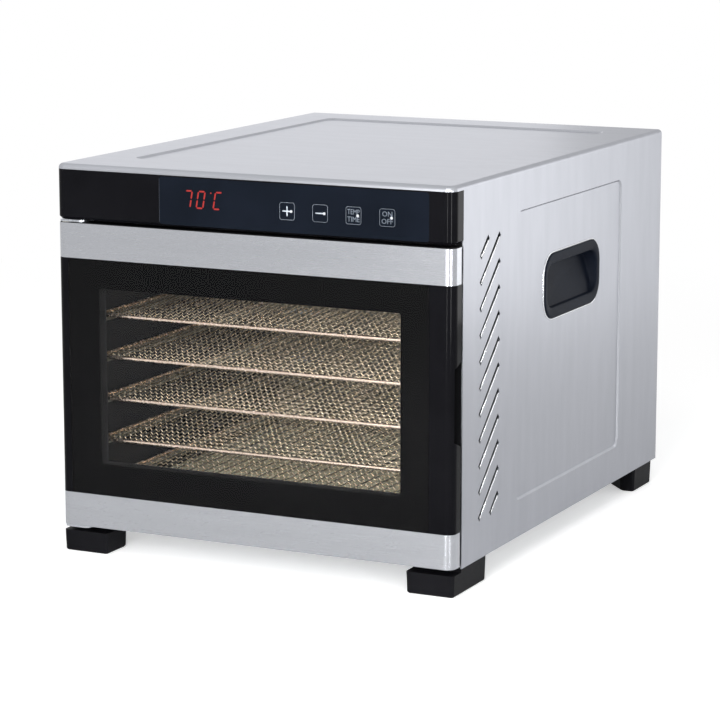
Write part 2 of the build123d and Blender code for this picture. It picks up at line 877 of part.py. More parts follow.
def liner_lid(upper):
    """Roof or floor of the chamber, with its front and rear edges folded away from the heat."""
    turn = 1 if upper else -1
    face = ceiling_z if upper else floor_z
    near = face + turn * sheet / 2
    far = near + turn * liner_flange
    front = frame_back_y + sheet / 2
    rear = baffle_y - sheet / 2
    width = 2 * (liner_outer_x + liner_flange)
    plane = Plane((-width / 2, 0, 0), x_dir=(0, 1, 0), z_dir=(1, 0, 0))
    fold = [(front, far), (front, near), (rear, near), (rear, far)]
    return folded_sheet(fold, sheet, width, plane)


def tray_runners(side):
    """Six folded runners on one wall of the chamber, one under each tray."""
    runners = []
    wall = (chamber_half_width - runner_sheet, chamber_half_width)
    shelf = (chamber_half_width - runner_width, chamber_half_width)
    y = (frame_back_y, baffle_y)
    for number in range(len(tray_names)):
        seat = tray_low_z + number * tray_pitch - tray_rod / 2 - runner_gap
        runner = block(shelf, y, (seat - runner_sheet, seat))
        runner = runner + block(wall, y, (seat - runner_leg, seat))
        runners.append(runner if side > 0 else mirrored(runner))
    return runners


def tray_frame():
    """Rod bent into a closed rectangle with cut corners, at the height of the lowest tray."""
    x = (tray_width - tray_rod) / 2
    y = (tray_depth - tray_rod) / 2
    cut_x = x - tray_corner
    cut_y = y - tray_corner
    corners = [(0, -y), (cut_x, -y), (x, -cut_y), (x, cut_y), (cut_x, y)]
    corners += [(-cut_x, y), (-x, cut_y), (-x, -cut_y), (-cut_x, -y)]
    path = Polyline(*corners, close=True)
    section = Plane((0, -y, 0), z_dir=(1, 0, 0)) * RegularPolygon(tray_rod / 2, rod_sides)
    rod = sweep(section, path=path, transition=Transition.RIGHT)
    return Pos(0, tray_middle_y, tray_low_z) * rod


def tray_mesh():
    """Wire mesh drawn as two layers of straight wires that join only at the rim."""
    x = tray_width / 2 - tray_rod
    y = tray_depth / 2 - tray_rod
    inner_corner = tray_corner - mesh_edge * (2 - math.sqrt(2))
    rim = cut_corners(2 * x, 2 * y, tray_corner)
    rim = rim - cut_corners(2 * (x - mesh_edge), 2 * (y - mesh_edge), inner_corner)
    layer = mesh_wire - mesh_layer_gap
    height = (mesh_wire + mesh_layer_gap) / 2
    wires = []
    across = int((y - tray_corner) / mesh_pitch)
    for number in range(-across, across + 1):
        wire = Box(2 * x - mesh_edge, mesh_wire, layer)
        wires.append(Pos(0, number * mesh_pitch, height) * wire)
    lengthwise = int((x - tray_corner) / mesh_pitch)
    for number in range(-lengthwise, lengthwise + 1):
        wire = Box(mesh_wire, 2 * y - mesh_edge, layer)
        wires.append(Pos(number * mesh_pitch, 0, -height) * wire)
    return Pos(0, tray_middle_y, tray_low_z) * (extrude(rim, mesh_wire, both=True) + wires)


# -------------------------------------------------------------- air circulation


def air_baffle():
    """Bulkhead behind the trays, with a round intake grille and outlet slots at both sides."""
    top = shell_top_z - sheet - bend_radius - rear_flange
    x = inner_x - sink_depth - fit_gap
    y = (baffle_y, baffle_y + baffle_sheet)
    plate = front_plate((-x, x), (pan_top_z, top), y)
    holes = []
    hole = RegularPolygon(intake_hole, intake_sides)
    for ring in range(intake_rings + 1):
        count = max(1, intake_sides * ring)
        for number in range(count):
            place = Rot(0, 0, 360 * number / count) * Pos(ring * intake_pitch, 0)
            holes.append(extrude(along_fan(y[0]) * (place * hole), baffle_sheet))
    for column in (-outlet_x, outlet_x):
        for number in range(outlet_count):
            z = fan_z + (number - (outlet_count - 1) / 2) * outlet_pitch
            slot = Box(outlet_length, 4 * baffle_sheet, outlet_width)
            holes.append(Pos(column, baffle_y, z) * slot)
    return plate - holes


def along_fan(y):
    """Plane across the fan's axis at a place along Y, looking back."""
    return Plane((0, y, fan_z), x_dir=(1, 0, 0), z_dir=(0, 1, 0))


def fan_front_y():
    """Front of the impeller."""
    return baffle_y + baffle_sheet + fan_front_gap


def motor_front_y():
    """Front of the motor's can."""
    return fan_front_y() + fan_width + motor_gap + motor_boss_length


def fan_impeller():
    """Open radial impeller: back disc, straight blades and a hub with its shaft."""
    front = fan_front_y()
    back = front + fan_width
    wheel = extrude(along_fan(back - fan_disc) * Circle(fan_radius), fan_disc)
    wheel = wheel + extrude(along_fan(front) * Circle(fan_hub_radius), fan_width)
    blade_length = fan_radius - fan_blade_root
    blades = []
    for number in range(fan_blades):
        place = Rot(0, 0, 360 * number / fan_blades) * Pos(fan_blade_root + blade_length / 2, 0)
        blade = Rectangle(blade_length, fan_blade_sheet)
        blades.append(extrude(along_fan(front) * (place * blade), fan_width))
    shaft = extrude(along_fan(front) * Circle(shaft_radius), motor_front_y() + motor_length / 2 - front)
    return wheel + blades + shaft


def fan_motor():
    """Shaded-pole motor: a square laminated stack with a bearing bridge on each side."""
    front = motor_front_y()
    bridge = (motor_length - motor_stack) / 2
    square = cut_corners(motor_size, motor_size, motor_corner)
    stack = extrude(along_fan(front + bridge) * square, motor_stack)
    bar = Rectangle(motor_size - motor_corner, 2 * motor_boss_radius)
    bridges = extrude(along_fan(front) * bar, motor_length)
    boss = extrude(along_fan(front - motor_boss_length) * Circle(motor_boss_radius), motor_boss_length)
    bore = Circle(shaft_radius + hinge_running_gap)
    bore_length = motor_boss_length + motor_length / 2 + 1
    return stack + bridges + boss - extrude(along_fan(front - motor_boss_length) * bore, bore_length)


def fan_bracket():
    """Folded strap that holds the motor off the rear panel, between the vent columns."""
    near = motor_front_y() + motor_length + strap_sheet / 2
    foot_line = rear_panel_y - sheet - strap_sheet / 2
    width = vent_middle_gap - 2 * strap_side_gap
    low = motor_size / 2 + strap_gap
    end = low + strap_foot
    plane = Plane((-width / 2, 0, fan_z), x_dir=(0, 1, 0), z_dir=(1, 0, 0))
    fold = [(foot_line, -end), (foot_line, -low), (near, -low)]
    fold += [(near, low), (foot_line, low), (foot_line, end)]
    return folded_sheet(fold, strap_sheet, width, plane)


def heater_ring():
    """Tubular heater bent round the impeller, with both tails turned to the back."""
    y = baffle_y + baffle_sheet + heater_setback
    step = (360 - heater_opening) / heater_bends
    loop = []
    for number in range(heater_bends + 1):
        angle = math.radians(90 + heater_opening / 2 + number * step)
        loop.append((heater_radius * math.cos(angle), y, fan_z + heater_radius * math.sin(angle)))
    tail_y = y + heater_tail
    points = [(loop[0][0], tail_y, loop[0][2])] + loop + [(loop[-1][0], tail_y, loop[-1][2])]
    section = Plane(points[0], z_dir=(0, -1, 0)) * RegularPolygon(heater_rod, rod_sides)
    return sweep(section, path=Polyline(*points), transition=Transition.RIGHT)


def heater_clips():
    """Three straps that hold the heater off the bulkhead."""
    clips = []
    start = baffle_y + baffle_sheet
    end = start + heater_setback - heater_rod
    z = (-clip_width / 2, clip_width / 2)
    clip = block((-clip_sheet, clip_sheet), (start, end), z)
    clip = clip + block((-clip_width, clip_width), (start, start + clip_sheet), z)
    for angle in (0, 180, 270):
        x = heater_radius * math.cos(math.radians(angle))
        rise_z = heater_radius * math.sin(math.radians(angle))
        clips.append(Pos(x, 0, fan_z + rise_z) * clip)
    return clips


def thermal_cutout():
    """Snap thermostat on the back of the bulkhead, in the gap of the heater."""
    place = (0, baffle_y + baffle_sheet, fan_z + heater_radius + cutout_radius)
    face = Plane(place, x_dir=(1, 0, 0), z_dir=(0, 1, 0))
    disc = extrude(face * Circle(cutout_radius), cutout_length)
    ears = cut_corners(4 * cutout_radius, cutout_radius, clip_sheet)
    return disc + extrude(face * ears, clip_sheet)


# ------------------------------------------------------------------------- back


def power_inlet():
    """Flanged appliance inlet with an open recess for the mains connector."""
    out = Plane((inlet_x, rear_panel_y, inlet_place_z), x_dir=(1, 0, 0), z_dir=(0, 1, 0))
    flange = RectangleRounded(inlet_flange_width, inlet_flange_height, inlet_corner)
    barrel = Rectangle(inlet_width - fit_gap, inlet_height - fit_gap)
    body = extrude(out * flange, inlet_flange) + extrude(out * barrel, -inlet_depth)
    mouth = Rectangle(inlet_width - 2 * inlet_wall, inlet_height - 2 * inlet_wall)
    mouth = chamfer(mouth.vertices().group_by(Axis.Y)[-1], inlet_corner)
    recess = extrude(out.offset(inlet_flange) * mouth, inlet_wall - inlet_depth - inlet_flange)
    return body - recess


def inlet_pins():
    """Three flat pins that stand on the floor of the inlet's recess."""
    floor = rear_panel_y - inlet_depth + inlet_wall
    pins = []
    for number in (-1, 0, 1):
        rise_z = inlet_pin_offset if number == 0 else -inlet_pin_offset
        middle = floor + inlet_pin_length / 2
        pin = Box(inlet_pin_width, inlet_pin_length, inlet_pin_height)
        pins.append(Pos(inlet_x + number * inlet_pin_spacing, middle, inlet_place_z + rise_z) * pin)
    return pins


def rear_screw_places():
    """Axes of the screws in the wrap's rear border, as (x, z) pairs."""
    x = inner_x - rear_flange / 2
    low = shell_low_z + 2 * rear_flange
    high = shell_top_z - sheet - rear_flange / 2
    middle = (low + high) / 2
    places = []
    for side in (-x, x):
        places += [(side, low), (side, middle)]
    return places + [(-x / 1.5, high), (0, high), (x / 1.5, high)]


def rear_screws():
    """Screws that hold the rear panel to the wrap's border."""
    shape = screw(rear_screw_head, rear_screw_head_height, rear_screw_radius, rear_screw_length)
    return [Pos(x, shell_rear_y, z) * Rot(-90, 0, 0) * shape for x, z in rear_screw_places()]


# ---------------------------------------------------------------------- handles


def handle_wedge(wall):
    """Side section of the cup, deep at the top and shallow at the bottom, run along Y."""
    face_x = half_width - sink_depth
    half_height = handle_height / 2 - handle_edge_rim + wall
    low = handle_z - half_height
    high = handle_z + half_height
    outline = [(half_width + overcut, low), (half_width + overcut, high)]
    outline += [(face_x - handle_deep - wall, high), (face_x - handle_shallow - wall, low)]
    plane = Plane((0, handle_y - handle_length / 2, 0), x_dir=(1, 0, 0), z_dir=(0, -1, 0))
    return extrude(plane * make_face(Polyline(*outline, close=True)), -handle_length)


def handle():
    """Moulded cup of the right side: crowned rim on the sunk panel and a sloping pocket."""
    face_x = half_width - sink_depth
    rim_plane = Plane((face_x, handle_y, handle_z), x_dir=(0, 1, 0), z_dir=(1, 0, 0))
    rim = extrude(rim_plane * RectangleRounded(handle_length, handle_height, handle_corner), sink_depth)
    rim = chamfer(edges_at(rim, Axis.X, half_width), handle_crown)
    outside = handle_plane(half_width)
    cup = extrude(outside * handle_outline(handle_wall), handle_deep + sink_depth + handle_wall)
    cup = cup & handle_wedge(handle_wall)
    cup = cup - block((face_x, half_width + 2), (-total_depth, total_depth), (0, 2 * shell_top_z))
    pocket = extrude(outside * handle_outline(0), handle_deep + sink_depth) & handle_wedge(0)
    return rim + cup - pocket


# ------------------------------------------------------------------ node listing


def all_parts():
    """Every node by name; a list stands for a group of separate solids."""
    right_handle = handle()
    right_liner = liner_side()
    nodes = {
        "outer_wrap": outer_wrap(),
        "base_pan": base_pan(),
        "rear_panel": rear_panel(),
        "front_frame": front_frame(),
        "control_housing": control_housing(),
        "control_overlay": control_overlay(),
        "display_module": display_module(),
        "control_board": control_board(),
        "key_plus": key(0),
        "key_minus": key(1),
        "key_mode": key(2),
        "key_power": key(3),
        "liner_left": mirrored(right_liner),
        "liner_right": right_liner,
        "liner_top": liner_lid(True),
        "liner_floor": liner_lid(False),
        "tray_runners_left": tray_runners(-1),
        "tray_runners_right": tray_runners(1),
        "air_baffle": air_baffle(),
        "heater_ring": heater_ring(),
        "heater_clips": heater_clips(),
        "thermal_cutout": thermal_cutout(),
        "fan_motor": fan_motor(),
        "fan_bracket": fan_bracket(),
        "fan_impeller": fan_impeller(),
        "power_inlet": power_inlet(),
        "inlet_pins": inlet_pins(),
        "rear_screws": rear_screws(),
        "handle_left": mirrored(right_handle),
        "handle_right": right_handle,
        "foot_front_left": foot(True, -1),
        "foot_front_right": foot(True, 1),
        "foot_rear_left": foot(False, -1),
        "foot_rear_right": foot(False, 1),
        "foot_screws": foot_screws(),
        "hinge_bracket_top": hinge_bracket(True),
        "hinge_bracket_bottom": hinge_bracket(False),
        "hinge_pins": hinge_pins(),
        "magnet_catch": magnet_catch(),
        "door_frame": door_frame(),
        "door_glass": door_glass(),
        "window_mask": window_mask(),
        "door_upper_bar": door_bar(True),
        "door_lower_bar": door_bar(False),
        "door_inner_frame": door_inner_frame(),
        "door_seal": door_seal(),
        "door_strike": strike_plate(),
        "hinge_bushes": hinge_bushes(),
    }
    frame = tray_frame()
    mesh = tray_mesh()
    for number, name in enumerate(tray_names):
        lift = Pos(0, 0, number * tray_pitch)
        nodes[name + "_frame"] = lift * frame
        nodes[name + "_mesh"] = lift * mesh
    return nodes


for node_name, shape in all_parts().items():
    solids = Compound(children=shape) if isinstance(shape, list) else shape
    export_step(solids, f"parts/{node_name}.step")
    print(node_name, len(solids.solids()), "solid(s)")
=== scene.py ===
# %% [markdown]
# # A warm-air drying oven with six wire trays
# The oven is a bench cabinet of brushed stainless sheet. It has a glass door, a black control
# panel, carry handles sunk into its sides and six woven wire trays. Its rigid pieces come from a
# packed construction model, already in place and in metres, and this lesson dresses them: it gives
# each surface the finish of its real material and makes the finest pieces, such as woven wire and
# printed signs, as new meshes.

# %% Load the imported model
import math

import bpy
import numpy as np
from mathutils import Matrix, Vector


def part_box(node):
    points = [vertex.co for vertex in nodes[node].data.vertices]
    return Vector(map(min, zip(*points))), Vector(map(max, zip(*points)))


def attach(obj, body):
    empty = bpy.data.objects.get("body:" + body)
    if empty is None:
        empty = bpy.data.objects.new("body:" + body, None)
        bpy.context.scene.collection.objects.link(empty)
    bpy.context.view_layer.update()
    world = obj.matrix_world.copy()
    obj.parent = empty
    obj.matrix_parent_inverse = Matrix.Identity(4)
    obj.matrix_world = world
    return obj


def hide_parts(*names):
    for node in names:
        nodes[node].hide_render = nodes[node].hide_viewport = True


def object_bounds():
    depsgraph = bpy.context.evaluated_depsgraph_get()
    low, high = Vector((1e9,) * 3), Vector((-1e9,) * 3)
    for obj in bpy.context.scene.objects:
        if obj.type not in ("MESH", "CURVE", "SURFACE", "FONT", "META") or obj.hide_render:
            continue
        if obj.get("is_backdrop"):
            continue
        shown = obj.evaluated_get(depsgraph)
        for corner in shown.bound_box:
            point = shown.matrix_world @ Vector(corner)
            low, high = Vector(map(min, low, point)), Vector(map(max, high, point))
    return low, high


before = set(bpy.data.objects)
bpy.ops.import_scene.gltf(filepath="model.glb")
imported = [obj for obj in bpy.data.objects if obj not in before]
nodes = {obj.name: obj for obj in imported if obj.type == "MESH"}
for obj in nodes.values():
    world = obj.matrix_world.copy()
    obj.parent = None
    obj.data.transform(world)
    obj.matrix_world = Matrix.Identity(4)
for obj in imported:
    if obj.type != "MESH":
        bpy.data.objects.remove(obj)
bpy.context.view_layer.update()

# %% [markdown]
# ## Colours and nodes
# Colours are easiest to choose as the hex codes that a screen uses, but shaders work in linear
# light. One function makes that change. A second one adds a shader node together with its settings
# and links, so that each material below reads as a short list of what it is made of.


# %% Colour and node helpers
def linear(code):
    """Linear red, green, blue and alpha of a hex code: each channel c, from 0 to 1, becomes
    ((c + 0.055) / 1.055) to the power 2.4, or c / 12.92 where it is nearly black."""
    channel = np.array([int(code[place:place + 2], 16) for place in (1, 3, 5)]) / 255
    light = np.where(channel > 0.04045, ((channel + 0.055) / 1.055) ** 2.4, channel / 12.92)
    return (*light.tolist(), 1.0)


def add(material, kind, inputs=None, **settings):
    """Adds one shader node. Inputs are values, or outputs of other nodes to link."""
    node = material.node_tree.nodes.new("ShaderNode" + kind)
    for name, value in settings.items():
        setattr(node, name, value)
    for name, value in (inputs or {}).items():
        if isinstance(value, bpy.types.NodeSocket):
            material.node_tree.links.new(value, node.inputs[name])
        else:
            node.inputs[name].default_value = value
    return node


def blank_material(name):
    """A material with no nodes yet."""
    material = bpy.data.materials.new(name)
    material.use_nodes = True
    material.node_tree.nodes.clear()
    return material


def finish_material(material, shader):
    """Sends a shader's output to the surface and gives the material back."""
    add(material, "OutputMaterial", {"Surface": shader})
    print(f"material {material.name}: {len(material.node_tree.nodes)} nodes")
    return material


def stretched_noise(material, size, detail=2.0, roughness=0.5):
    """Noise whose spots measure about size, in metres, along X, Y and Z of the oven."""
    place = add(material, "TexCoord").outputs["Object"]
    scale = tuple(1 / length for length in size)
    moved = add(material, "Mapping", {"Vector": place, "Scale": scale}).outputs["Vector"]
    settings = {"Vector": moved, "Scale": 1.0, "Detail": detail, "Roughness": roughness}
    return add(material, "TexNoise", settings).outputs["Fac"]


print("pure white is", linear("#ffffff"))

# %% [markdown]
# ## Camera
# A product picture is taken from far away with a long lens, so that upright edges stay nearly
# parallel. The camera stands in front and to the right, a little above the oven, and looks down
# at it. A camera's own rest pose looks straight down, so it is tipped up first and turned after.

# %% Camera
LENS = 141.25
SENSOR = 36.0
CAMERA_PLACE = (1.0125, -2.1175, 0.5754)
CAMERA_TURN = math.radians(25.86)
CAMERA_DIP = math.radians(10.68)

lens = bpy.data.cameras.new("camera")
lens.lens = LENS
lens.sensor_width = SENSOR
lens.clip_end = 100.0
camera = bpy.data.objects.new("camera", lens)
camera.location = CAMERA_PLACE
camera.rotation_euler = (math.pi / 2 - CAMERA_DIP, 0, CAMERA_TURN)
bpy.context.scene.collection.objects.link(camera)
bpy.context.scene.camera = camera
bpy.context.scene.view_settings.view_transform = "Standard"
print("camera at", CAMERA_PLACE)

# %% [markdown]
# ## Studio
# Stainless steel has no colour of its own: it shows the room. A studio puts it on a pale floor
# and lets white walls fill the room. The world here is white where it is seen or mirrored and
# dimmer where it only lights, which keeps shadows. One upright dark strip stays between the white
# walls, as it would between two studio screens: round corners mirror it as a dark line, which
# shows their curve. The floor glows a little for the eye, and less for mirrors, so that it looks
# white but holds a shadow, and steel near it stays grey.

# %% World and floor
WORLD_LIGHT = 0.45
GAP_DIRECTION = (0.37, -0.93, 0.0)
GAP_EDGES = (0.95, 0.98)
GAP_LEVEL = 0.05
FLOOR_SIZE = 60.0
FLOOR_GLOW = 0.42
FLOOR_GLOW_IN_MIRRORS = 0.15
FLOOR_FADE = (0.35, 1.5)


def seen_or_mirrored(material):
    """1 for rays that come from the eye, a mirror or glass, and 0 for rays that light things."""
    ray = add(material, "LightPath").outputs
    eye_and_mirror = {0: ray["Is Camera Ray"], 1: ray["Is Glossy Ray"]}
    either = add(material, "Math", eye_and_mirror, operation="MAXIMUM")
    every = {0: either.outputs[0], 1: ray["Is Transmission Ray"]}
    return add(material, "Math", every, operation="MAXIMUM").outputs[0]


world = bpy.data.worlds.new("white_room")
world.use_nodes = True
world.node_tree.nodes.clear()
room_strength = {"Value": seen_or_mirrored(world), "To Min": WORLD_LIGHT, "To Max": 1.0}
room_light = add(world, "MapRange", room_strength).outputs["Result"]
sky_way = add(world, "TexCoord").outputs["Generated"]
level_way = add(world, "VectorMath", {0: sky_way, 1: (1.0, 1.0, 0.0)}, operation="MULTIPLY")
level_way = add(world, "VectorMath", {0: level_way.outputs[0]}, operation="NORMALIZE")
two_ways = {0: level_way.outputs[0], 1: GAP_DIRECTION}
nearness = add(world, "VectorMath", two_ways, operation="DOT_PRODUCT")
gap = {"Value": nearness.outputs["Value"], "From Min": GAP_EDGES[0], "From Max": GAP_EDGES[1]}
gap = add(world, "MapRange", gap, interpolation_type="SMOOTHSTEP").outputs["Result"]
mirrored_gap = add(world, "Math", {0: gap, 1: add(world, "LightPath").outputs["Is Glossy Ray"]},
                   operation="MULTIPLY").outputs[0]
dark_part = {"Value": mirrored_gap, "To Min": 1.0, "To Max": GAP_LEVEL}
dark_part = add(world, "MapRange", dark_part).outputs["Result"]
room_light = add(world, "Math", {0: room_light, 1: dark_part}, operation="MULTIPLY").outputs[0]
room = add(world, "Background", {"Color": linear("#ffffff"), "Strength": room_light})
add(world, "OutputWorld", {"Surface": room.outputs[0]})
bpy.context.scene.world = world


def pale_floor():
    """Matt white paper, with a glow that only the eye sees, and mirrors less. Away from the oven,
    over the distances of FLOOR_FADE, it goes over to the plain white of the room."""
    material = blank_material("white_paper_floor")
    seen = seen_or_mirrored(material)
    paper = add(material, "BsdfDiffuse", {"Color": linear("#f4f4f4")})
    mirrored = add(material, "LightPath").outputs["Is Glossy Ray"]
    glow_level = {"Value": mirrored, "To Min": FLOOR_GLOW, "To Max": FLOOR_GLOW_IN_MIRRORS}
    strength = add(material, "MapRange", glow_level).outputs["Result"]
    glow_amount = add(material, "Math", {0: seen, 1: strength}, operation="MULTIPLY")
    glow_values = {"Color": linear("#ffffff"), "Strength": glow_amount.outputs[0]}
    glow = add(material, "Emission", glow_values)
    near = add(material, "AddShader", {0: paper.outputs[0], 1: glow.outputs[0]})
    far = add(material, "Emission", {"Color": linear("#ffffff"), "Strength": 1.0})
    place = add(material, "TexCoord").outputs["Object"]
    distance = add(material, "VectorMath", {0: place}, operation="LENGTH").outputs["Value"]
    span = {"Value": distance, "From Min": FLOOR_FADE[0], "From Max": FLOOR_FADE[1]}
    away = add(material, "MapRange", span, interpolation_type="SMOOTHSTEP").outputs["Result"]
    amount = add(material, "Math", {0: away, 1: seen}, operation="MULTIPLY").outputs[0]
    paper_and_room = add(material, "MixShader", {0: amount, 1: near.outputs[0], 2: far.outputs[0]})
    return finish_material(material, paper_and_room.outputs[0])


half_floor = FLOOR_SIZE / 2
floor_mesh = bpy.data.meshes.new("floor")
corner_signs = ((-1, -1), (1, -1), (1, 1), (-1, 1))
floor_corners = [(x * half_floor, y * half_floor, 0) for x, y in corner_signs]
floor_mesh.from_pydata(floor_corners, [], [(0, 1, 2, 3)])
floor_mesh.materials.append(pale_floor())
floor = bpy.data.objects.new("floor", floor_mesh)
bpy.context.scene.collection.objects.link(floor)
floor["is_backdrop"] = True
print("floor", FLOOR_SIZE, "m wide")

# %% [markdown]
# ## Lamps
# A large soft lamp in front gives the shape. It stands to the right, where the front mirrors it
# away from the camera, so the rolled edge of the hood stays grey. A smaller one lights the door's
# bars, and a low one looks through the glass at the trays. Two more brighten the side and the top
# from behind. The last two are narrow upright strips. The rounded right end of the door mirrors
# each as an upright line of light. A lamp's entry is its place, the point it is aimed at, its
# width and height in metres, and its power in watts.

# %% Soft lamps
LAMPS = {
    "key_lamp": ((0.60, -2.2, 1.7), (0.0, 0.0, 0.15), (1.7, 2.2), 26.0),
    "front_strip": ((0.05, -1.60, 0.62), (0.12, 0.0, 0.22), (0.9, 0.9), 6.0),
    "tray_glow": ((0.34, -1.30, 0.42), (-0.05, -0.10, 0.12), (0.4, 0.4), 6.0),
    "side_glow": ((0.75, 0.62, 0.30), (0.17, -0.15, 0.22), (0.5, 0.55), 1.4),
    "top_glow": ((-0.75, 1.1, 0.75), (-0.05, -0.15, 0.31), (0.9, 0.6), 1.6),
    "left_edge_strip": ((0.17, -1.25, 0.22), (0.165, -0.21, 0.20), (0.05, 0.44), 2.6),
    "right_edge_strip": ((0.98, -0.95, 0.22), (0.165, -0.21, 0.20), (0.10, 0.44), 4.5),
}

for lamp_name, (place, target, (width, height), power) in LAMPS.items():
    lamp_data = bpy.data.lights.new(lamp_name, "AREA")
    lamp_data.shape = "RECTANGLE"
    lamp_data.size = width
    lamp_data.size_y = height
    lamp_data.energy = power
    lamp = bpy.data.objects.new(lamp_name, lamp_data)
    lamp.location = place
    direction = lamp.location - type(lamp.location)(target)
    lamp.rotation_euler = direction.to_track_quat("Z", "Y").to_euler()
    lamp.visible_camera = False
    bpy.context.scene.collection.objects.link(lamp)
    print(lamp_name, "gives", power, "W from", place)

# %% [markdown]
# ## Brushed stainless steel
# The cabinet is type 430 stainless sheet with a number 4 finish: a belt of grit drags fine lines
# into it, all one way. Light spreads across the lines, so the sheet looks silky and shows only a
# blurred room. Noise stretched some twenty-five times along them gives the look. On this cabinet
# the lines run up the sides and across the top, so the pattern changes fast only from front to
# back, and one material carries round the bends. Real lines are about 0.05 mm wide; they are drawn
# ten times as wide, because finer ones would not show. The anisotropic setting does the rest: it
# stretches each highlight across the lines, a quarter turn from a tangent that runs along them.

# %% One patterned finish
MM = 0.001
METAL = {"Metallic": 1.0}
BRUSHED = {"Metallic": 1.0, "Anisotropic": 0.5, "Anisotropic Rotation": 0.25}
EDGE_TINT = {"Specular Tint": linear("#d8d8da")}
NOISE_REACH = {"From Min": 0.3, "From Max": 0.7}


def patterned(name, colours, roughness, fine, coarse, dent, shader_values, lines_round=None):
    """A surface with two noises. The coarse one moves the colour from the first hex code to the
    second, and the fine one moves the roughness and dents the surface by the given depth. Noise
    keeps near 0.3 to 0.7, so that part of it is spread over the whole way. Brushed lines run
    round the axis that lines_round names."""
    material = blank_material(name)
    clouds = stretched_noise(material, coarse)
    grain = stretched_noise(material, fine, detail=3.0)
    amount = add(material, "MapRange", {"Value": clouds} | NOISE_REACH)
    colour_ends = {0: amount.outputs["Result"], 6: linear(colours[0]), 7: linear(colours[1])}
    tint = add(material, "Mix", colour_ends, data_type="RGBA")
    spread = {"Value": grain, "To Min": roughness[0], "To Max": roughness[1]}
    rough = add(material, "MapRange", spread | NOISE_REACH)
    dents = add(material, "Bump", {"Height": grain, "Strength": 1.0, "Distance": dent})
    values = {
        "Base Color": tint.outputs[2],
        "Roughness": rough.outputs["Result"],
        "Normal": dents.outputs["Normal"],
    }
    if lines_round:
        tangent = add(material, "Tangent", direction_type="RADIAL", axis=lines_round)
        values["Tangent"] = tangent.outputs["Tangent"]
    shader = add(material, "BsdfPrincipled", values | shader_values)
    return finish_material(material, shader.outputs[0])


wrap_steel = patterned(
    "number_4_brushed_stainless", ("#adafb5", "#b2b4ba"), (0.31, 0.37),
    fine=(12 * MM, 0.5 * MM, 12 * MM), coarse=(80 * MM, 12 * MM, 80 * MM),
    dent=0.004 * MM, shader_values=BRUSHED | EDGE_TINT, lines_round="Y")
bar_steel = patterned(
    "long_grain_stainless_bar", ("#acaeb3", "#b0b2b7"), (0.25, 0.28),
    fine=(16 * MM, 0.6 * MM, 0.5 * MM), coarse=(120 * MM, 12 * MM, 9 * MM),
    dent=0.002 * MM, shader_values=BRUSHED, lines_round="Z")

# %% [markdown]
# ## Mill-finish and plated metal
# The chamber liner is stainless with a 2B mill finish: rolled and pickled, so it has no lines but
# a soft blur. Its grey is painted darker than bare steel: painted shade for the dim chamber. Its
# floor is matt, and painted cream and pale: painted light, the warm light that falls on it. Its
# side walls are painted black, painted shade for walls in deep shadow, made with the plastics
# below.
# The rear panel and base are galvanised, and zinc freezes in flat crystals about 8 mm wide, called
# spangle, that each mirror a slightly different grey. A Voronoi texture has just such cells.


# %% Mill finish, spangle and plating
SPANGLE = 8 * MM


def round_grain(size):
    """The same size along X, Y and Z."""
    return (size, size, size)


def metal(name, colours, roughness, patch, dent=0.0):
    """Metal without lines: patches of the given size."""
    fine, coarse = round_grain(patch / 2), round_grain(patch)
    return patterned(name, colours, roughness, fine, coarse, dent, METAL)


def galvanised_steel():
    """Zinc spangle: each Voronoi cell takes its own grey and its own gloss."""
    material = blank_material("hot_dip_galvanised_steel")
    place = add(material, "TexCoord").outputs["Object"]
    cells = add(material, "TexVoronoi", {"Vector": place, "Scale": 1 / SPANGLE}).outputs["Color"]
    grey = add(material, "SeparateColor", {"Color": cells}).outputs["Red"]
    greys = {0: grey, 6: linear("#979ba0"), 7: linear("#b4b8bc")}
    rough = add(material, "MapRange", {"Value": grey, "To Min": 0.35, "To Max": 0.52})
    values = {
        "Base Color": add(material, "Mix", greys, data_type="RGBA").outputs[2],
        "Metallic": 1.0,
        "Roughness": rough.outputs["Result"],
    }
    shader = add(material, "BsdfPrincipled", values)
    return finish_material(material, shader.outputs[0])


pickled_steel = {"Metallic": 0.35}
# Darker grey than bare stainless: painted shade for the dim chamber.
liner_steel = metal("mill_finish_stainless_painted_shade", ("#8b8880", "#979489"), (0.30, 0.38), 25 * MM)
# Cream and pale, half metal: painted light, the warm light on the chamber floor.
floor_steel = patterned(
    "matt_stainless_floor_painted_light", ("#f0ead2", "#f8f2dc"), (0.45, 0.55), fine=round_grain(12 * MM),
    coarse=round_grain(25 * MM), dent=0.0, shader_values=pickled_steel)
# Beige and lighter than bare steel: painted warm light on the tray wires and rods.
wire_steel = metal("drawn_wire_painted_warm_light", ("#e2d2b9", "#eee0ca"), (0.14, 0.22), 3 * MM)
rod_steel = metal("polished_rod_painted_warm_light", ("#dcc6b5", "#e6d2c3"), (0.22, 0.30), 6 * MM)
# A darker copy of the wire steel: painted shade on the lengthways wires.
dull_wire = metal("stainless_wire_painted_shade", ("#45413a", "#524d45"), (0.34, 0.44), 3 * MM)
zinc = metal("bright_zinc_plating", ("#a9acb2", "#bdc0c5"), (0.25, 0.40), 2 * MM)
brass = metal("drawn_brass", ("#c9a455", "#d6b468"), (0.25, 0.35), 2 * MM)
fan_aluminium = metal("pressed_aluminium", ("#b0b3b6", "#c0c2c5"), (0.35, 0.50), 6 * MM, 0.02 * MM)
heater_sheath = metal("heat_tinted_nickel_alloy", ("#5d4f49", "#7a6c60"), (0.40, 0.60), 12 * MM)
lamination_steel = metal(
    "varnished_motor_steel", ("#33363a", "#43474b"), (0.40, 0.55), 3 * MM, 0.05 * MM)
galvanised = galvanised_steel()

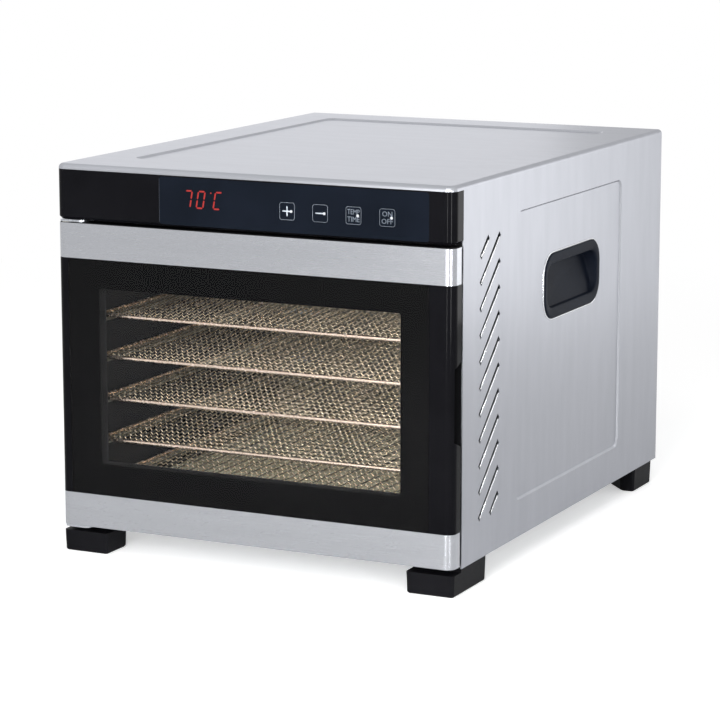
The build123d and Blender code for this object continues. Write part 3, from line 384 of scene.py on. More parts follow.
# %% [markdown]
# ## Moulded plastics and rubber
# Plastics here differ by gloss. The panel and door frame are glossy ABS, the handles are
# polypropylene from a spark-eroded mould, whose fine pits scatter light, and the feet are rubber.
# Each is a dielectric: its own colour shows through a clear skin, so metallic stays at 0. The skin
# mirrors about 4 % of the room, which the specular level sets: less of it keeps a black surface
# black in a white room.


# %% Plastics
PLASTIC_CLOUDS = 40 * MM


def plastic(name, colours, roughness, pit, dent, gloss=0.5):
    """Plastic or rubber whose mould left pits of the given size and depth."""
    skin = {"Specular IOR Level": gloss}
    fine, coarse = round_grain(pit), round_grain(PLASTIC_CLOUDS)
    return patterned(name, colours, roughness, fine, coarse, dent, skin)


gloss_abs = plastic("glossy_black_abs", ("#0a0a0d", "#0e0e11"), (0.06, 0.10), 6 * MM, 0.0, 0.04)
overlay_sheet = plastic(
    "tinted_acrylic_overlay", ("#0b1018", "#0f141d"), (0.07, 0.11), 8 * MM, 0.0, 0.06)
handle_pp = plastic(
    "spark_textured_polypropylene", ("#12161f", "#171c26"),
    (0.34, 0.44), 0.8 * MM, 0.02 * MM, 0.03)
foot_rubber = plastic(
    "black_moulded_rubber", ("#0b0b0e", "#121215"), (0.42, 0.55), 1.0 * MM, 0.03 * MM, 0.06)
# Black side walls: painted shade, where the chamber's walls stand in shadow.
wall_coat = plastic(
    "black_wall_painted_shade", ("#07080c", "#0b0c11"),
    (0.30, 0.42), 1.2 * MM, 0.01 * MM, 0.05)
# Black coat on the front frame, the door's inner frame and the strip on the door: painted shade in
# the gaps and behind the window.
powder_coat = plastic(
    "black_matt_painted_shade", ("#0c0c0e", "#131315"), (0.45, 0.60), 0.9 * MM, 0.02 * MM, 0.1)
seal_silicone = plastic(
    "extruded_silicone", ("#1c1c1d", "#242425"), (0.45, 0.60), 2.0 * MM, 0.02 * MM)
bush_nylon = plastic("moulded_nylon", ("#d9d8d0", "#e4e3dc"), (0.35, 0.50), 1.0 * MM, 0.01 * MM)
black_pa = plastic(
    "black_glass_filled_nylon", ("#151517", "#1e1e20"), (0.40, 0.55), 0.8 * MM, 0.03 * MM)
ceramic = plastic("glazed_steatite", ("#cfc8b8", "#ddd6c7"), (0.30, 0.45), 1.5 * MM, 0.01 * MM)
board_mask = plastic(
    "green_solder_mask", ("#0d3a1e", "#124826"), (0.25, 0.35), 1.2 * MM, 0.03 * MM)
frit = plastic(
    "fired_black_glass_print", ("#060608", "#09090b"), (0.35, 0.45), 1.0 * MM, 0.0, 0.06)

# %% [markdown]
# ## Door glass
# The door is one pane of 4 mm toughened glass. Real glass bends light at both faces and mirrors a
# little of the room: 4 % at each face where its index is 1.5. In a white room that would veil the
# trays, and this pane shows them clear, so its index is brought down to 1.2, as a coating against
# glare would do. Path tracing finds lamps through glass only with great luck, so the pane is plain
# clear to shadow rays and true glass to every other ray.


# %% Glass
GLASS_COLOUR = "#fbfbfa"
GLASS_INDEX = 1.2


def toughened_glass():
    """Clear glass that lets the lamps' light straight through."""
    material = blank_material("toughened_clear_glass")
    values = {
        "Base Color": linear(GLASS_COLOUR),
        "Roughness": 0.0,
        "IOR": GLASS_INDEX,
        "Transmission Weight": 1.0,
    }
    glass = add(material, "BsdfPrincipled", values)
    clear = add(material, "BsdfTransparent", {"Color": linear(GLASS_COLOUR)})
    shadow = add(material, "LightPath").outputs["Is Shadow Ray"]
    choice = add(material, "MixShader", {0: shadow, 1: glass.outputs[0], 2: clear.outputs[0]})
    return finish_material(material, choice.outputs[0])


pane = toughened_glass()

# %% [markdown]
# ## Which piece gets which finish
# One table gives each finish the pieces that are made of it, so that a change of material is a
# change of one word. Pieces that a later step replaces are left out, apart from the handles.

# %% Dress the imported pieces
FINISHES = {
    wrap_steel: ("outer_wrap",),
    bar_steel: ("door_upper_bar", "door_lower_bar"),
    liner_steel: ("air_baffle", "liner_top", "tray_runners_left", "tray_runners_right"),
    wall_coat: ("liner_left", "liner_right"),
    floor_steel: ("liner_floor",),
    powder_coat: ("front_frame", "door_inner_frame"),
    galvanised: ("base_pan", "fan_bracket", "heater_clips", "rear_panel"),
    zinc: ("door_strike", "foot_screws", "hinge_bracket_bottom", "hinge_bracket_top",
           "hinge_pins", "rear_screws"),
    brass: ("inlet_pins",),
    fan_aluminium: ("fan_impeller",),
    heater_sheath: ("heater_ring",),
    lamination_steel: ("fan_motor",),
    gloss_abs: ("control_housing", "door_frame"),
    overlay_sheet: ("control_overlay", "display_module",
                    "key_plus", "key_minus", "key_mode", "key_power"),
    handle_pp: ("handle_left", "handle_right"),
    foot_rubber: ("foot_front_left", "foot_front_right", "foot_rear_left", "foot_rear_right"),
    seal_silicone: ("door_seal",),
    bush_nylon: ("hinge_bushes",),
    black_pa: ("magnet_catch", "power_inlet"),
    ceramic: ("thermal_cutout",),
    board_mask: ("control_board",),
    frit: ("window_mask",),
    pane: ("door_glass",),
}
dressed = set()
for finish, names in FINISHES.items():
    for name in names:
        nodes[name].data.materials.clear()
        nodes[name].data.materials.append(finish)
        dressed.add(name)
print(len(dressed), "packed pieces dressed")

# %% [markdown]
# ## Tubes along a path
# Wire, rod and cord are all one idea: a small round section carried along a line. A grid of points
# holds them, with one row for each step along the line and one column for each corner of the
# section. The faces then need no thought: each joins a point to its neighbours.


# %% Mesh helpers
def new_piece(name, mesh, material, body):
    """Puts a mesh in the scene with its material, riding on a body of the oven."""
    mesh.materials.append(material)
    piece = bpy.data.objects.new(name, mesh)
    bpy.context.scene.collection.objects.link(piece)
    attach(piece, body)
    print(f"{name}: {len(mesh.polygons)} faces")
    return piece


def strip_mesh(name, grid, ring=False):
    """Mesh of many tubes at once. grid[tube, step, corner] is a point, each tube is closed round
    its section, and it ends in two caps, or joins its own start if ring is true. Point number
    (tube x steps + step) x corners + corner meets the next corner and the next step in a face."""
    tubes, steps, corners, _ = grid.shape
    joined_steps = steps if ring else steps - 1
    tube, step, corner = np.meshgrid(
        np.arange(tubes), np.arange(joined_steps), np.arange(corners), indexing="ij")
    next_step = (step + 1) % steps
    next_corner = (corner + 1) % corners
    row = (tube * steps + step) * corners
    next_row = (tube * steps + next_step) * corners
    quads = [row + corner, row + next_corner, next_row + next_corner, next_row + corner]
    quads = np.stack(quads, -1).reshape(-1, 4)
    mesh = bpy.data.meshes.new(name)
    loops = [quads.ravel()]
    sizes = [np.full(len(quads), 4)]
    if not ring:
        first = np.arange(tubes)[:, None] * steps * corners
        start_caps = first + np.arange(corners)[::-1]
        end_caps = first + (steps - 1) * corners + np.arange(corners)
        loops += [start_caps.ravel(), end_caps.ravel()]
        sizes += [np.full(2 * tubes, corners)]
    corner_list = np.concatenate(loops).astype(np.int32)
    size_list = np.concatenate(sizes).astype(np.int32)
    mesh.vertices.add(tubes * steps * corners)
    mesh.vertices.foreach_set("co", grid.astype(np.float32).ravel())
    mesh.loops.add(len(corner_list))
    mesh.loops.foreach_set("vertex_index", corner_list)
    mesh.polygons.add(len(size_list))
    starts = np.concatenate([[0], np.cumsum(size_list)[:-1]]).astype(np.int32)
    mesh.polygons.foreach_set("loop_start", starts)
    mesh.update(calc_edges=True)
    mesh.validate()
    mesh.polygons.foreach_set("use_smooth", np.ones(len(size_list), bool))
    return mesh


print("mesh helpers ready")

# %% [markdown]
# ## Woven trays
# Each tray is wire cloth welded to a frame of 3 mm rod. The wires are crimped before they are
# woven: a plain weave goes over one crossing and under the next, and this cloth has two more waves
# in between, which stiffen the open mesh. Five half waves to a mesh give a cosine that is up at
# one crossing and down at the next. The lengthways wires are thinner and nearly straight, and
# painted dark: painted shade, since they mirror the dark chamber. The cross wires and the rod are
# painted a light warm beige, the colour of the warm light on them. Real wire gives the sparkle and
# the see-through look that no bump can.

# %% Rounded outline
CORNER_STEPS = 6
CORNER_SIGNS = np.array([(1, 1), (-1, 1), (-1, -1), (1, -1)])


def rounded_outline(half_length, half_height, radius):
    """Points once round a rectangle with rounded corners, as arrays of length and height. Each
    point is a corner circle's middle plus radius x (cosine, sine) of an angle that runs over that
    corner's quarter. Sizes may be arrays, and then each gives a row of points."""
    half_length, half_height, radius = np.broadcast_arrays(half_length, half_height, radius)
    turn = np.linspace(0, np.pi / 2, CORNER_STEPS + 1)
    angle = (turn[None, :] + np.arange(4)[:, None] * np.pi / 2).ravel()
    sign = np.repeat(CORNER_SIGNS, CORNER_STEPS + 1, axis=0)
    length = sign[:, 0] * (half_length - radius)[..., None] + radius[..., None] * np.cos(angle)
    height = sign[:, 1] * (half_height - radius)[..., None] + radius[..., None] * np.sin(angle)
    return length, height


print("an outline has", 4 * (CORNER_STEPS + 1), "points")

# %% Tray cloth and frames
TRAY_COUNT = 6
WEAVE_PITCH = 12.4 * MM
CRIMPS = 5
FLATTENED_CRIMPS = 2
STEPS_PER_CRIMP = 3
WIRE_RADIUS = 0.6 * MM
WIRE_WAVE = 0.95 * MM
LONG_WIRE_RADIUS = 0.45 * MM
LONG_WIRE_WAVE = 0.2 * MM
WIRE_CORNERS = 5
ROD_RADIUS = 1.5 * MM
ROD_CORNERS = 12
WIRE_END_MARGIN = 1.5 * ROD_RADIUS
TRAY_CORNER = 4.0 * MM
OVERLAP = 0.25 * MM


def wires(length, width, odd, crown, wave_height):
    """Centre lines of parallel wires as arrays of distance along, distance across and height.
    The height is wave_height times the cosine of pi times the number of crimps passed, with the
    sign that the wire's own number and odd give. Over the last two crimps it goes smoothly to
    crown, where the wire meets the rod."""
    count = int(width / WEAVE_PITCH)
    across = (np.arange(count) - (count - 1) / 2) * WEAVE_PITCH
    crossings = int(length / WEAVE_PITCH)
    first = -(crossings - 1) / 2 * WEAVE_PITCH
    crimp = WEAVE_PITCH / CRIMPS
    step = crimp / STEPS_PER_CRIMP
    spare = int((length / 2 - WIRE_END_MARGIN + first) / step)
    steps = np.arange(-spare, (crossings - 1) * CRIMPS * STEPS_PER_CRIMP + spare + 1)
    ends = [-length / 2, -length / 2 + ROD_RADIUS, length / 2 - ROD_RADIUS, length / 2]
    along = np.sort(np.concatenate([ends, first + steps * step]))
    sign = np.where((np.arange(count)[:, None] + odd) % 2 == 0, 1.0, -1.0)
    wave = wave_height * np.cos(np.pi * (along[None, :] - first) / crimp) * sign
    from_end = length / 2 - np.abs(along)[None, :]
    hold = np.clip(1 - from_end / (FLATTENED_CRIMPS * crimp), 0, 1)
    hold = hold * hold * (3 - 2 * hold)
    height = wave * (1 - hold) + crown * hold
    shape = height.shape
    return np.broadcast_to(along[None, :], shape), np.broadcast_to(across[:, None], shape), height


def round_section(along, across, height, radius, swap):
    """Grid of points round the centre lines: the section is a circle that stands across the wire,
    so a corner at angle a adds radius x cosine of a across and radius x sine of a upwards."""
    angle = np.arange(WIRE_CORNERS) / WIRE_CORNERS * 2 * np.pi
    side = across[:, :, None] + radius * np.cos(angle)
    up = height[:, :, None] + radius * np.sin(angle)
    run = np.broadcast_to(along[:, :, None], side.shape)
    if swap:
        return np.stack([side, run, up], -1)[:, :, ::-1]
    return np.stack([run, side, up], -1)


def rod_frame(width, depth, centre, height):
    """A rounded rectangle of rod: the corner of its section at angle a lies on the outline grown
    by radius x cosine of a, and radius x sine of a above its middle."""
    angle = np.arange(ROD_CORNERS) / ROD_CORNERS * 2 * np.pi
    grow = ROD_RADIUS * (np.cos(angle) - 1)
    x, y = rounded_outline(width / 2 + grow, depth / 2 + grow, TRAY_CORNER + ROD_RADIUS + grow)
    z = np.broadcast_to((height + ROD_RADIUS * np.sin(angle))[:, None], x.shape)
    return np.stack([x, centre + y, z], -1).transpose(1, 0, 2)[None]


for tray_number in range(1, TRAY_COUNT + 1):
    tray = f"tray_{tray_number}"
    low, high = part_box(tray + "_frame")
    tray_width = high.x - low.x
    tray_depth = high.y - low.y
    tray_middle = (low.y + high.y) / 2
    tray_height = (low.z + high.z) / 2
    cloth_width = tray_width - 2 * ROD_RADIUS
    cloth_depth = tray_depth - 2 * ROD_RADIUS
    top_of_rod = ROD_RADIUS + LONG_WIRE_RADIUS - OVERLAP
    cross_lines = wires(cloth_width, cloth_depth, 0, 0.0, WIRE_WAVE)
    cross = round_section(*cross_lines, WIRE_RADIUS, swap=False)
    long_lines = wires(cloth_depth, cloth_width, 1, top_of_rod, LONG_WIRE_WAVE)
    lengthways = round_section(*long_lines, LONG_WIRE_RADIUS, swap=True)
    shift = np.array([0, tray_middle, tray_height])
    cross_mesh = strip_mesh(tray + "_cross_wires", cross + shift)
    cloth = new_piece(tray + "_cross_wires", cross_mesh, wire_steel, tray)
    long_mesh = strip_mesh(tray + "_long_wires", lengthways + shift)
    new_piece(tray + "_long_wires", long_mesh, dull_wire, tray)
    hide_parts(tray + "_mesh")
    rod_grid = rod_frame(tray_width, tray_depth, tray_middle, tray_height)
    rod_mesh = strip_mesh(tray + "_rod", rod_grid, ring=True)
    rod = new_piece(tray + "_rod", rod_mesh, rod_steel, tray)
    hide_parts(tray + "_frame")

# %% [markdown]
# ## Carry handles
# Each handle is one polypropylene moulding: a crowned rim that lies on the steel, and a pocket
# whose back wall slopes, so that fingers reach up behind the rim. A moulding of even thickness is
# a single closed skin. Here the skin is a stack of rounded outlines that starts in the middle of
# the back, goes out round the cup and under the rim, turns over the crown and runs down into the
# pocket. Only a few sizes for each outline have to be chosen.

# %% Handle skin
HANDLE_WALL = 1.4 * MM
HANDLE_RIM_CORNER = 18.0 * MM
HANDLE_MOUTH = (107.0 * MM, 35.5 * MM, 11.0 * MM)
HANDLE_CROWN = 1.5 * MM
POCKET_DEPTHS = (3.0 * MM, 13.0 * MM)
POCKET_EDGE = 0.3 * MM
POCKET_INSET = 0.8 * MM
# Share of the way from the rim's outer edge to its mouth, and share of the crown's height.
RIM_PROFILE = np.array([
    (0.0, 0.1), (0.0, 0.45), (0.03, 0.75), (0.09, 0.94), (0.18, 1.0), (0.34, 0.97),
    (0.55, 0.86), (0.76, 0.68), (0.9, 0.45), (0.97, 0.2), (1.0, -0.3)])
CUP_MIDDLE = 0.02


def handle_rows(length, height):
    """Sizes of the outlines: half length, half height, corner radius, height over the panel and
    share of the way down to the sloping back wall."""
    mouth = np.array(HANDLE_MOUTH) / (2, 2, 1)
    rim = np.array([length / 2, height / 2, HANDLE_RIM_CORNER])
    outside = mouth + HANDLE_WALL
    rows = [(*outside * CUP_MIDDLE, 0, 1), (*outside, 0, 1), (*outside, 0, 0), (*rim, 0, 0)]
    rows += [(*(rim + (mouth - rim) * way), HANDLE_CROWN * lift, 0) for way, lift in RIM_PROFILE]
    inset = mouth - POCKET_INSET
    rows += [(*mouth, 0, 0.9), (*(mouth - POCKET_EDGE), 0, 0.97)]
    rows += [(*inset, 0, 1), (*inset * CUP_MIDDLE, 0, 1)]
    return np.array(rows)


def handle_skin(box_low, box_high, side):
    """Grid of the moulding's points. A point's place across the panel is its outline's. Its depth
    is the height over the panel, less the share down times the back wall's depth, which grows in
    a straight line from the bottom of the mouth to its top."""
    length = box_high.y - box_low.y
    height = box_high.z - box_low.z
    rows = handle_rows(length, height)
    along, up = rounded_outline(rows[:, 0], rows[:, 1], rows[:, 2])
    slope = (up / HANDLE_MOUTH[1] + 0.5).clip(0, 1)
    depth = POCKET_DEPTHS[0] + (POCKET_DEPTHS[1] - POCKET_DEPTHS[0]) * slope
    outside = np.arange(len(rows)) < 2
    depth = depth + HANDLE_WALL * outside[:, None]
    panel = max(abs(box_low.x), abs(box_high.x)) - HANDLE_CROWN
    out = panel + rows[:, 3:4] - rows[:, 4:5] * depth
    middle_y = (box_low.y + box_high.y) / 2
    middle_z = (box_low.z + box_high.z) / 2
    grid = np.stack([side * out, middle_y + along, middle_z + up], -1)
    return grid[None] if side < 0 else grid[None, :, ::-1]


# %% Handles and their steel edge
BEAD_RADIUS = 0.65 * MM
BEAD_GAP = 0.2 * MM
BEAD_CORNERS = 8


def edge_bead(box_low, box_high, side):
    """Raised edge of the steel round a handle: a half-sunk round tube along an outline just
    outside the rim."""
    angle = np.arange(BEAD_CORNERS) / BEAD_CORNERS * 2 * np.pi
    grow = BEAD_GAP + BEAD_RADIUS + BEAD_RADIUS * np.cos(angle)
    half_length = (box_high.y - box_low.y) / 2 + grow
    half_height = (box_high.z - box_low.z) / 2 + grow
    along, up = rounded_outline(half_length, half_height, HANDLE_RIM_CORNER + grow)
    panel = max(abs(box_low.x), abs(box_high.x)) - HANDLE_CROWN
    out = np.broadcast_to((panel + BEAD_RADIUS * np.sin(angle))[:, None], along.shape)
    middle_y = (box_low.y + box_high.y) / 2
    middle_z = (box_low.z + box_high.z) / 2
    grid = np.stack([side * out, middle_y + along, middle_z + up], -1).transpose(1, 0, 2)
    return grid[None] if side > 0 else grid[None, :, ::-1]


bead_steel = metal("polished_pressed_edge", ("#d2d4d8", "#dddfe2"), (0.16, 0.24), 4 * MM)
for side, handle in ((1, "handle_right"), (-1, "handle_left")):
    low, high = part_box(handle)
    skin_mesh = strip_mesh(handle + "_moulding", handle_skin(low, high, side))
    skin = new_piece(handle + "_moulding", skin_mesh, handle_pp, "cabinet")
    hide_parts(handle)
    bead_mesh = strip_mesh(handle + "_edge", edge_bead(low, high, side), ring=True)
    new_piece(handle + "_edge", bead_mesh, bead_steel, "cabinet")

# %% [markdown]
# ## Louvre lips
# A press cuts each louvre as a slanted slot and bends its lower edge inwards. The bare sheared
# edge is smoother than the brushed sheet and looks up, so it mirrors the bright room as a fine
# white line under the dark slot. The lip is a thin sloping strip just inside each slot. The slots
# stand one pitch apart, so a slot's number gives its height.

# %% Bright lip of every louvre
SHELL_FRONT = -207.5 * MM
FOOT_HEIGHT = 20.0 * MM
LOUVRE_SLOPE = np.tan(np.radians(43.0))
LOUVRE_HALF_WIDTH = 2.2 * MM
LOUVRE_PITCH = 20.4 * MM
LOUVRE_BAND = 34.0 * MM
LOUVRE_LOW, LOUVRE_HIGH = 32.8 * MM, 248.3 * MM
LOUVRE_SHORTEST_RISE = 6.8 * MM
LOUVRE_FRONT = SHELL_FRONT + 34.0 * MM
LOUVRE_NUMBERS = np.arange(-1, 12)
LIP_SECTION = np.array([(0.06, 0.03), (0.85, 0.55), (0.80, 0.65), (0.40, 0.45)]) * MM


def louvre_lips(wall, side):
    """Grid of thin sloping strips, one inside the lower edge of each slot. Slot n starts at the
    height low + n x pitch and rises by the slope over the band, cut off at the lowest and the
    highest louvre. A section point says how far it is from the slot's edge, and how deep."""
    lines = LOUVRE_LOW + LOUVRE_PITCH * LOUVRE_NUMBERS
    low = np.maximum(lines, LOUVRE_LOW)
    high = np.minimum(lines + LOUVRE_BAND * LOUVRE_SLOPE, LOUVRE_HIGH)
    whole = high - low > LOUVRE_SHORTEST_RISE
    ends = np.stack([low, high], -1)[whole]
    along = LOUVRE_FRONT + (ends - lines[whole][:, None]) / LOUVRE_SLOPE
    down = np.array([LOUVRE_SLOPE, -1.0]) / np.hypot(LOUVRE_SLOPE, 1.0)
    away = LOUVRE_HALF_WIDTH - LIP_SECTION[:, 0]
    y = along[:, :, None] + down[0] * away
    z = FOOT_HEIGHT + ends[:, :, None] + down[1] * away
    x = np.broadcast_to(side * (wall - LIP_SECTION[:, 1]), y.shape)
    return np.stack([x, y, z], -1)[:, :, ::-side]


lip_steel = metal("bright_sheared_edge", ("#eef0f3", "#f5f6f8"), (0.20, 0.28), 4 * MM)
half_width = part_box("outer_wrap")[1].x
for side, name in ((1, "louvre_lips_right"), (-1, "louvre_lips_left")):
    lip_mesh = strip_mesh(name, louvre_lips(half_width, side))
    new_piece(name, lip_mesh, lip_steel, "cabinet")

# %% [markdown]
# ## Strip on the door
# The top of the door lies in the shade of the panel above it, so a strip of black film lies on the
# upper bar's top as painted shade, and the gap under the panel stays dark. Its outline is given
# twice, once at the bottom and once at the top.

# %% Door strip
STRIP_THICKNESS = 0.25 * MM
STRIP_INSETS = (0.6 * MM, 1.2 * MM)
STRIP_CORNER = 5.0 * MM

low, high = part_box("door_upper_bar")
half_length = (high.x - low.x) / 2 - STRIP_INSETS[1]
half_depth = (high.y - low.y - STRIP_INSETS[0] - STRIP_INSETS[1]) / 2
strip_x, strip_y = rounded_outline(np.array([half_length] * 2), half_depth, STRIP_CORNER)
strip_y = strip_y + low.y + STRIP_INSETS[0] + half_depth
strip_z = np.broadcast_to(high.z + np.array([[0.0], [STRIP_THICKNESS]]), strip_x.shape)
strip_grid = np.stack([strip_x, strip_y, strip_z], -1)[None]
film_mesh = strip_mesh("door_top_shade_film", strip_grid)
new_piece("door_top_shade_film", film_mesh, powder_coat, "door")

# %% [markdown]
# ## Lit digits and printed keys
# Behind the tinted panel a seven-segment block shows the chamber's temperature. Its segments are
# light-emitting diodes, so their material gives light of its own. The signs of the keys are
# screen-printed: ink a few hundredths of a millimetre thick, made here as thin plates. A plate is
# an outline given twice, once at its front and once at its back.

# %% Plates and segments
INK = 0.04 * MM
DIODE_SPOT = 1.5 * MM
PANEL_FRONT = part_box("control_overlay")[0].y
DIGIT_HEIGHT = 14.2 * MM
DIGIT_WIDTH = 7.0 * MM
STROKE = 1.25 * MM
SEGMENT_GAP = 0.3 * MM
DIGIT_LEAN = math.tan(math.radians(9.5))
DIGIT_LOW = 285.9 * MM
DIGITS = (("ABC", -57.7 * MM), ("ABCDEF", -46.4 * MM), ("ADEF", -31.5 * MM))
DEGREE_X = -32.7 * MM
DEGREE_DROP = 1.4 * MM
DEGREE_HALF = 0.65 * MM
DEGREE_STROKE = 1.2 * MM
DEGREE_TIP = 0.4 * MM
EDGE_LINE = 0.3 * MM
EDGE_LINE_TIP = 0.1 * MM
EDGE_LINE_MARGIN = 1.0 * MM


def plates(outlines, back, thickness=INK):
    """Grid of thin upright plates. outlines[plate, corner] is (x, z), and each plate stands from
    the depth called back to one thickness in front of it."""
    depths = back - thickness * np.array([0.0, 1.0])
    count, corners, _ = outlines.shape
    x = np.broadcast_to(outlines[:, None, :, 0], (count, 2, corners))
    z = np.broadcast_to(outlines[:, None, :, 1], (count, 2, corners))
    y = np.broadcast_to(depths[None, :, None], x.shape)
    return np.stack([x, y, z], -1)


def bars(starts, ends, width, point):
    """Outlines of bars from starts to ends, with tips that narrow over the length called point."""
    starts, ends = np.array(starts, float), np.array(ends, float)
    way = (ends - starts) / np.linalg.norm(ends - starts, axis=1, keepdims=True)
    across = way[:, ::-1] * (-1, 1) * width / 2
    tip = way * point
    return np.stack([starts, starts + tip - across, ends - tip - across, ends,
                     ends - tip + across, starts + tip + across], 1)


def digit_segments(letters):
    """Outlines of a digit's lit segments, before it leans. A is the top bar, B and C the right
    side, D the bottom bar, E and F the left side."""
    low, middle, high = STROKE / 2, DIGIT_HEIGHT / 2, DIGIT_HEIGHT - STROKE / 2
    left, right = STROKE / 2, DIGIT_WIDTH - STROKE / 2
    gap = SEGMENT_GAP
    ends = {
        "A": ((left + gap, high), (right - gap, high)),
        "B": ((right, middle + gap), (right, high - gap)),
        "C": ((right, low + gap), (right, middle - gap)),
        "D": ((left + gap, low), (right - gap, low)),
        "E": ((left, low + gap), (left, middle - gap)),
        "F": ((left, middle + gap), (left, high - gap)),
    }
    chosen = [ends[letter] for letter in letters]
    return bars([start for start, _ in chosen], [end for _, end in chosen], STROKE, STROKE / 2)


def glowing(name, colour, strength):
    """A nearly black surface with light of its own, for the diode segments and for the painted
    glints on the keys.
    """
    material = blank_material(name)
    spots = stretched_noise(material, round_grain(DIODE_SPOT))
    ends = {0: spots, 6: linear(colour[0]), 7: linear(colour[1])}
    tint = add(material, "Mix", ends, data_type="RGBA").outputs[2]
    values = {"Base Color": linear("#0a0a0c"), "Roughness": 0.3, "Emission Color": tint,
              "Emission Strength": strength, "Specular IOR Level": 0.1}
    return finish_material(material, add(material, "BsdfPrincipled", values).outputs[0])


def joined_plates(name, parts, material, body):
    """One piece from several sets of plates that have the same number of corners."""
    return new_piece(name, strip_mesh(name, np.concatenate(parts)), material, body)


# %% Panel edge and digits
panel_low, panel_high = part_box("control_overlay")
line_low = (panel_low.x, panel_low.z + EDGE_LINE_MARGIN)
line_high = (panel_low.x, panel_high.z - EDGE_LINE_MARGIN)
edge_line = bars([line_low], [line_high], EDGE_LINE, EDGE_LINE_TIP)
edge_grey = plastic("cut_acrylic_edge", ("#3c4047", "#4a4e56"), (0.30, 0.40), 2.0 * MM, 0.0, 0.1)
edge_plates = [plates(edge_line, PANEL_FRONT)]
joined_plates("overlay_cut_edge", edge_plates, edge_grey, "cabinet")

digits = []
for letters, start in DIGITS:
    outline = digit_segments(letters)
    leaning = outline[..., 0] + outline[..., 1] * DIGIT_LEAN + start
    digits.append(plates(np.stack([leaning, outline[..., 1] + DIGIT_LOW], -1), PANEL_FRONT))
degree_z = DIGIT_LOW + DIGIT_HEIGHT - DEGREE_DROP
degree_left, degree_right = (DEGREE_X - DEGREE_HALF, degree_z), (DEGREE_X + DEGREE_HALF, degree_z)
degree = bars([degree_left], [degree_right], DEGREE_STROKE, DEGREE_TIP)
digits.append(plates(degree, PANEL_FRONT))
red_glow = glowing("red_diode_segments", ("#b8302a", "#c83a34"), 1.0)
joined_plates("display_digits", digits, red_glow, "cabinet")

# %% Key signs
KEY_LINE = 0.34 * MM
KEY_CORNER = 2.0 * MM
KEY_HALF_WIDTH = 6.5 * MM
KEY_HALF_HEIGHT = 6.75 * MM
SIGN_HALF = 3.9 * MM
SIGN_STROKE = 1.0 * MM
SIGN_TIP = 0.05 * MM
LIGHT_OFFSET = 3.5 * MM
LIGHT_RADIUS = 1.1 * MM
LIGHT_CORNERS = 12
WORDS = {"key_mode": ("TEMP", "TIME"), "key_power": ("ON", "OFF")}
WORD_HEIGHT = 3.9 * MM
WORD_RISE = 2.8 * MM
WORD_WIDEST = 10.2 * MM
CAPITAL_SHARE = 0.7

ink = plastic("grey_screen_printed_ink", ("#666d77", "#7a818b"), (0.45, 0.55), 1.0 * MM, 0.0, 0.1)
sign_ink = plastic(
    "white_screen_printed_ink", ("#a9b0ba", "#bcc3cc"), (0.45, 0.55), 1.0 * MM, 0.0, 0.1)
white_glow = glowing("white_painted_key_glint", ("#eef3ff", "#ffffff"), 1.0)


def key_frame(middle_x, middle_z, half_width, half_height):
    """Printed line round a key: a flat band along a rounded outline."""
    grow = np.array([0.0, 0.0, -KEY_LINE, -KEY_LINE])
    x, z = rounded_outline(half_width + grow, half_height + grow, KEY_CORNER + grow)
    y = PANEL_FRONT - INK * np.array([0.0, 1.0, 1.0, 0.0])
    y = np.broadcast_to(y[:, None], x.shape)
    return np.stack([middle_x + x, y, middle_z + z], -1).transpose(1, 0, 2)[None]


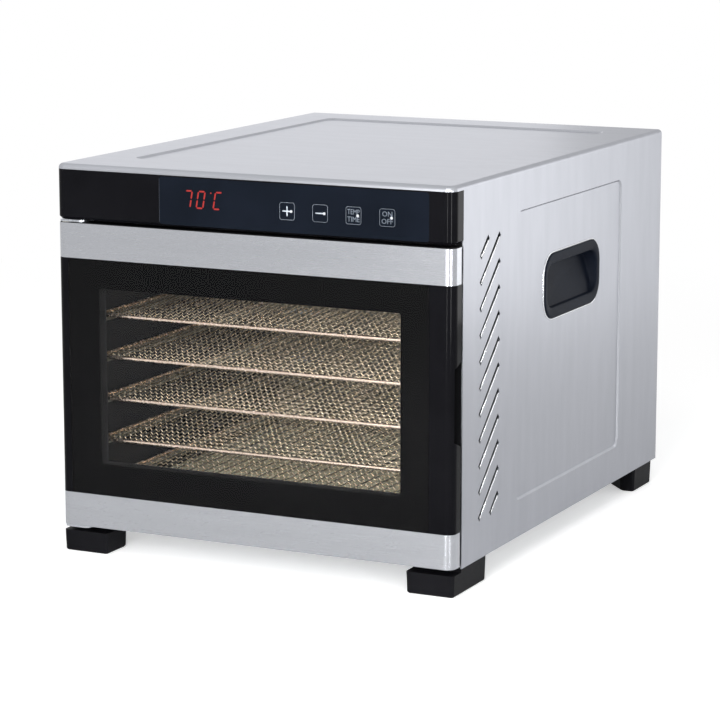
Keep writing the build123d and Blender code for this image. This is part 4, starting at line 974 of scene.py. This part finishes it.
def word_mesh(name, word, middle_x, middle_z, height, widest):
    """Letters as a mesh that stands on the panel. A capital of the built-in letters is
    CAPITAL_SHARE of the text size, so the text size is the height over that share. The word is
    drawn narrower where it is too wide."""
    text = bpy.data.curves.new(name, "FONT")
    text.body = word
    text.size = height / CAPITAL_SHARE
    text.align_x = "CENTER"
    text.align_y = "CENTER"
    text.resolution_u = 2
    holder = bpy.data.objects.new(name, text)
    mesh = bpy.data.meshes.new_from_object(holder)
    bpy.data.objects.remove(holder)
    points = np.zeros(len(mesh.vertices) * 3, np.float32)
    mesh.vertices.foreach_get("co", points)
    points = points.reshape(-1, 3)
    narrow = min(1.0, widest / np.ptp(points[:, 0]))
    middle = (points.max(0) + points.min(0)) / 2
    x = middle_x + (points[:, 0] - middle[0]) * narrow
    z = middle_z + points[:, 1] - middle[1]
    placed = np.stack([x, np.full_like(x, PANEL_FRONT - INK), z], -1)
    mesh.vertices.foreach_set("co", placed.astype(np.float32).ravel())
    mesh.update()
    return mesh


for key in ("key_plus", "key_minus", "key_mode", "key_power"):
    low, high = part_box(key)
    middle_x = (low.x + high.x) / 2
    middle_z = (low.z + high.z) / 2
    outline = key_frame(middle_x, middle_z, KEY_HALF_WIDTH, KEY_HALF_HEIGHT)
    frame_mesh = strip_mesh(key + "_frame", outline, ring=True)
    new_piece(key + "_frame", frame_mesh, ink, key)
    # A small glowing white dot right of each key's middle: a painted glint, in place of a lamp's
    # reflection on the domed key.
    round_angle = np.arange(LIGHT_CORNERS) / LIGHT_CORNERS * 2 * np.pi
    dot = np.stack([middle_x + LIGHT_OFFSET + LIGHT_RADIUS * np.cos(round_angle),
                    middle_z + LIGHT_RADIUS * np.sin(round_angle)], -1)[None]
    dot_mesh = strip_mesh(key + "_light", plates(dot, PANEL_FRONT, 2 * INK))
    new_piece(key + "_light", dot_mesh, white_glow, key)
    if key in WORDS:
        for word, rise in zip(WORDS[key], (WORD_RISE, -WORD_RISE)):
            name = f"{key}_{word.lower()}"
            letters = word_mesh(name, word, middle_x, middle_z + rise, WORD_HEIGHT, WORD_WIDEST)
            new_piece(name, letters, ink, key)
    else:
        strokes = [((middle_x - SIGN_HALF, middle_z), (middle_x + SIGN_HALF, middle_z))]
        if key == "key_plus":
            cut_low, cut_high = middle_z - SIGN_STROKE / 2, middle_z + SIGN_STROKE / 2
            strokes.append(((middle_x, middle_z - SIGN_HALF), (middle_x, cut_low)))
            strokes.append(((middle_x, cut_high), (middle_x, middle_z + SIGN_HALF)))
        outline = bars([a for a, _ in strokes], [b for _, b in strokes], SIGN_STROKE, SIGN_TIP)
        joined_plates(key + "_sign", [plates(outline, PANEL_FRONT)], sign_ink, key)

# %% Sizes and the end
low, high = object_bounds()
print("dressed size", [round(b - a, 4) for a, b in zip(low, high)])
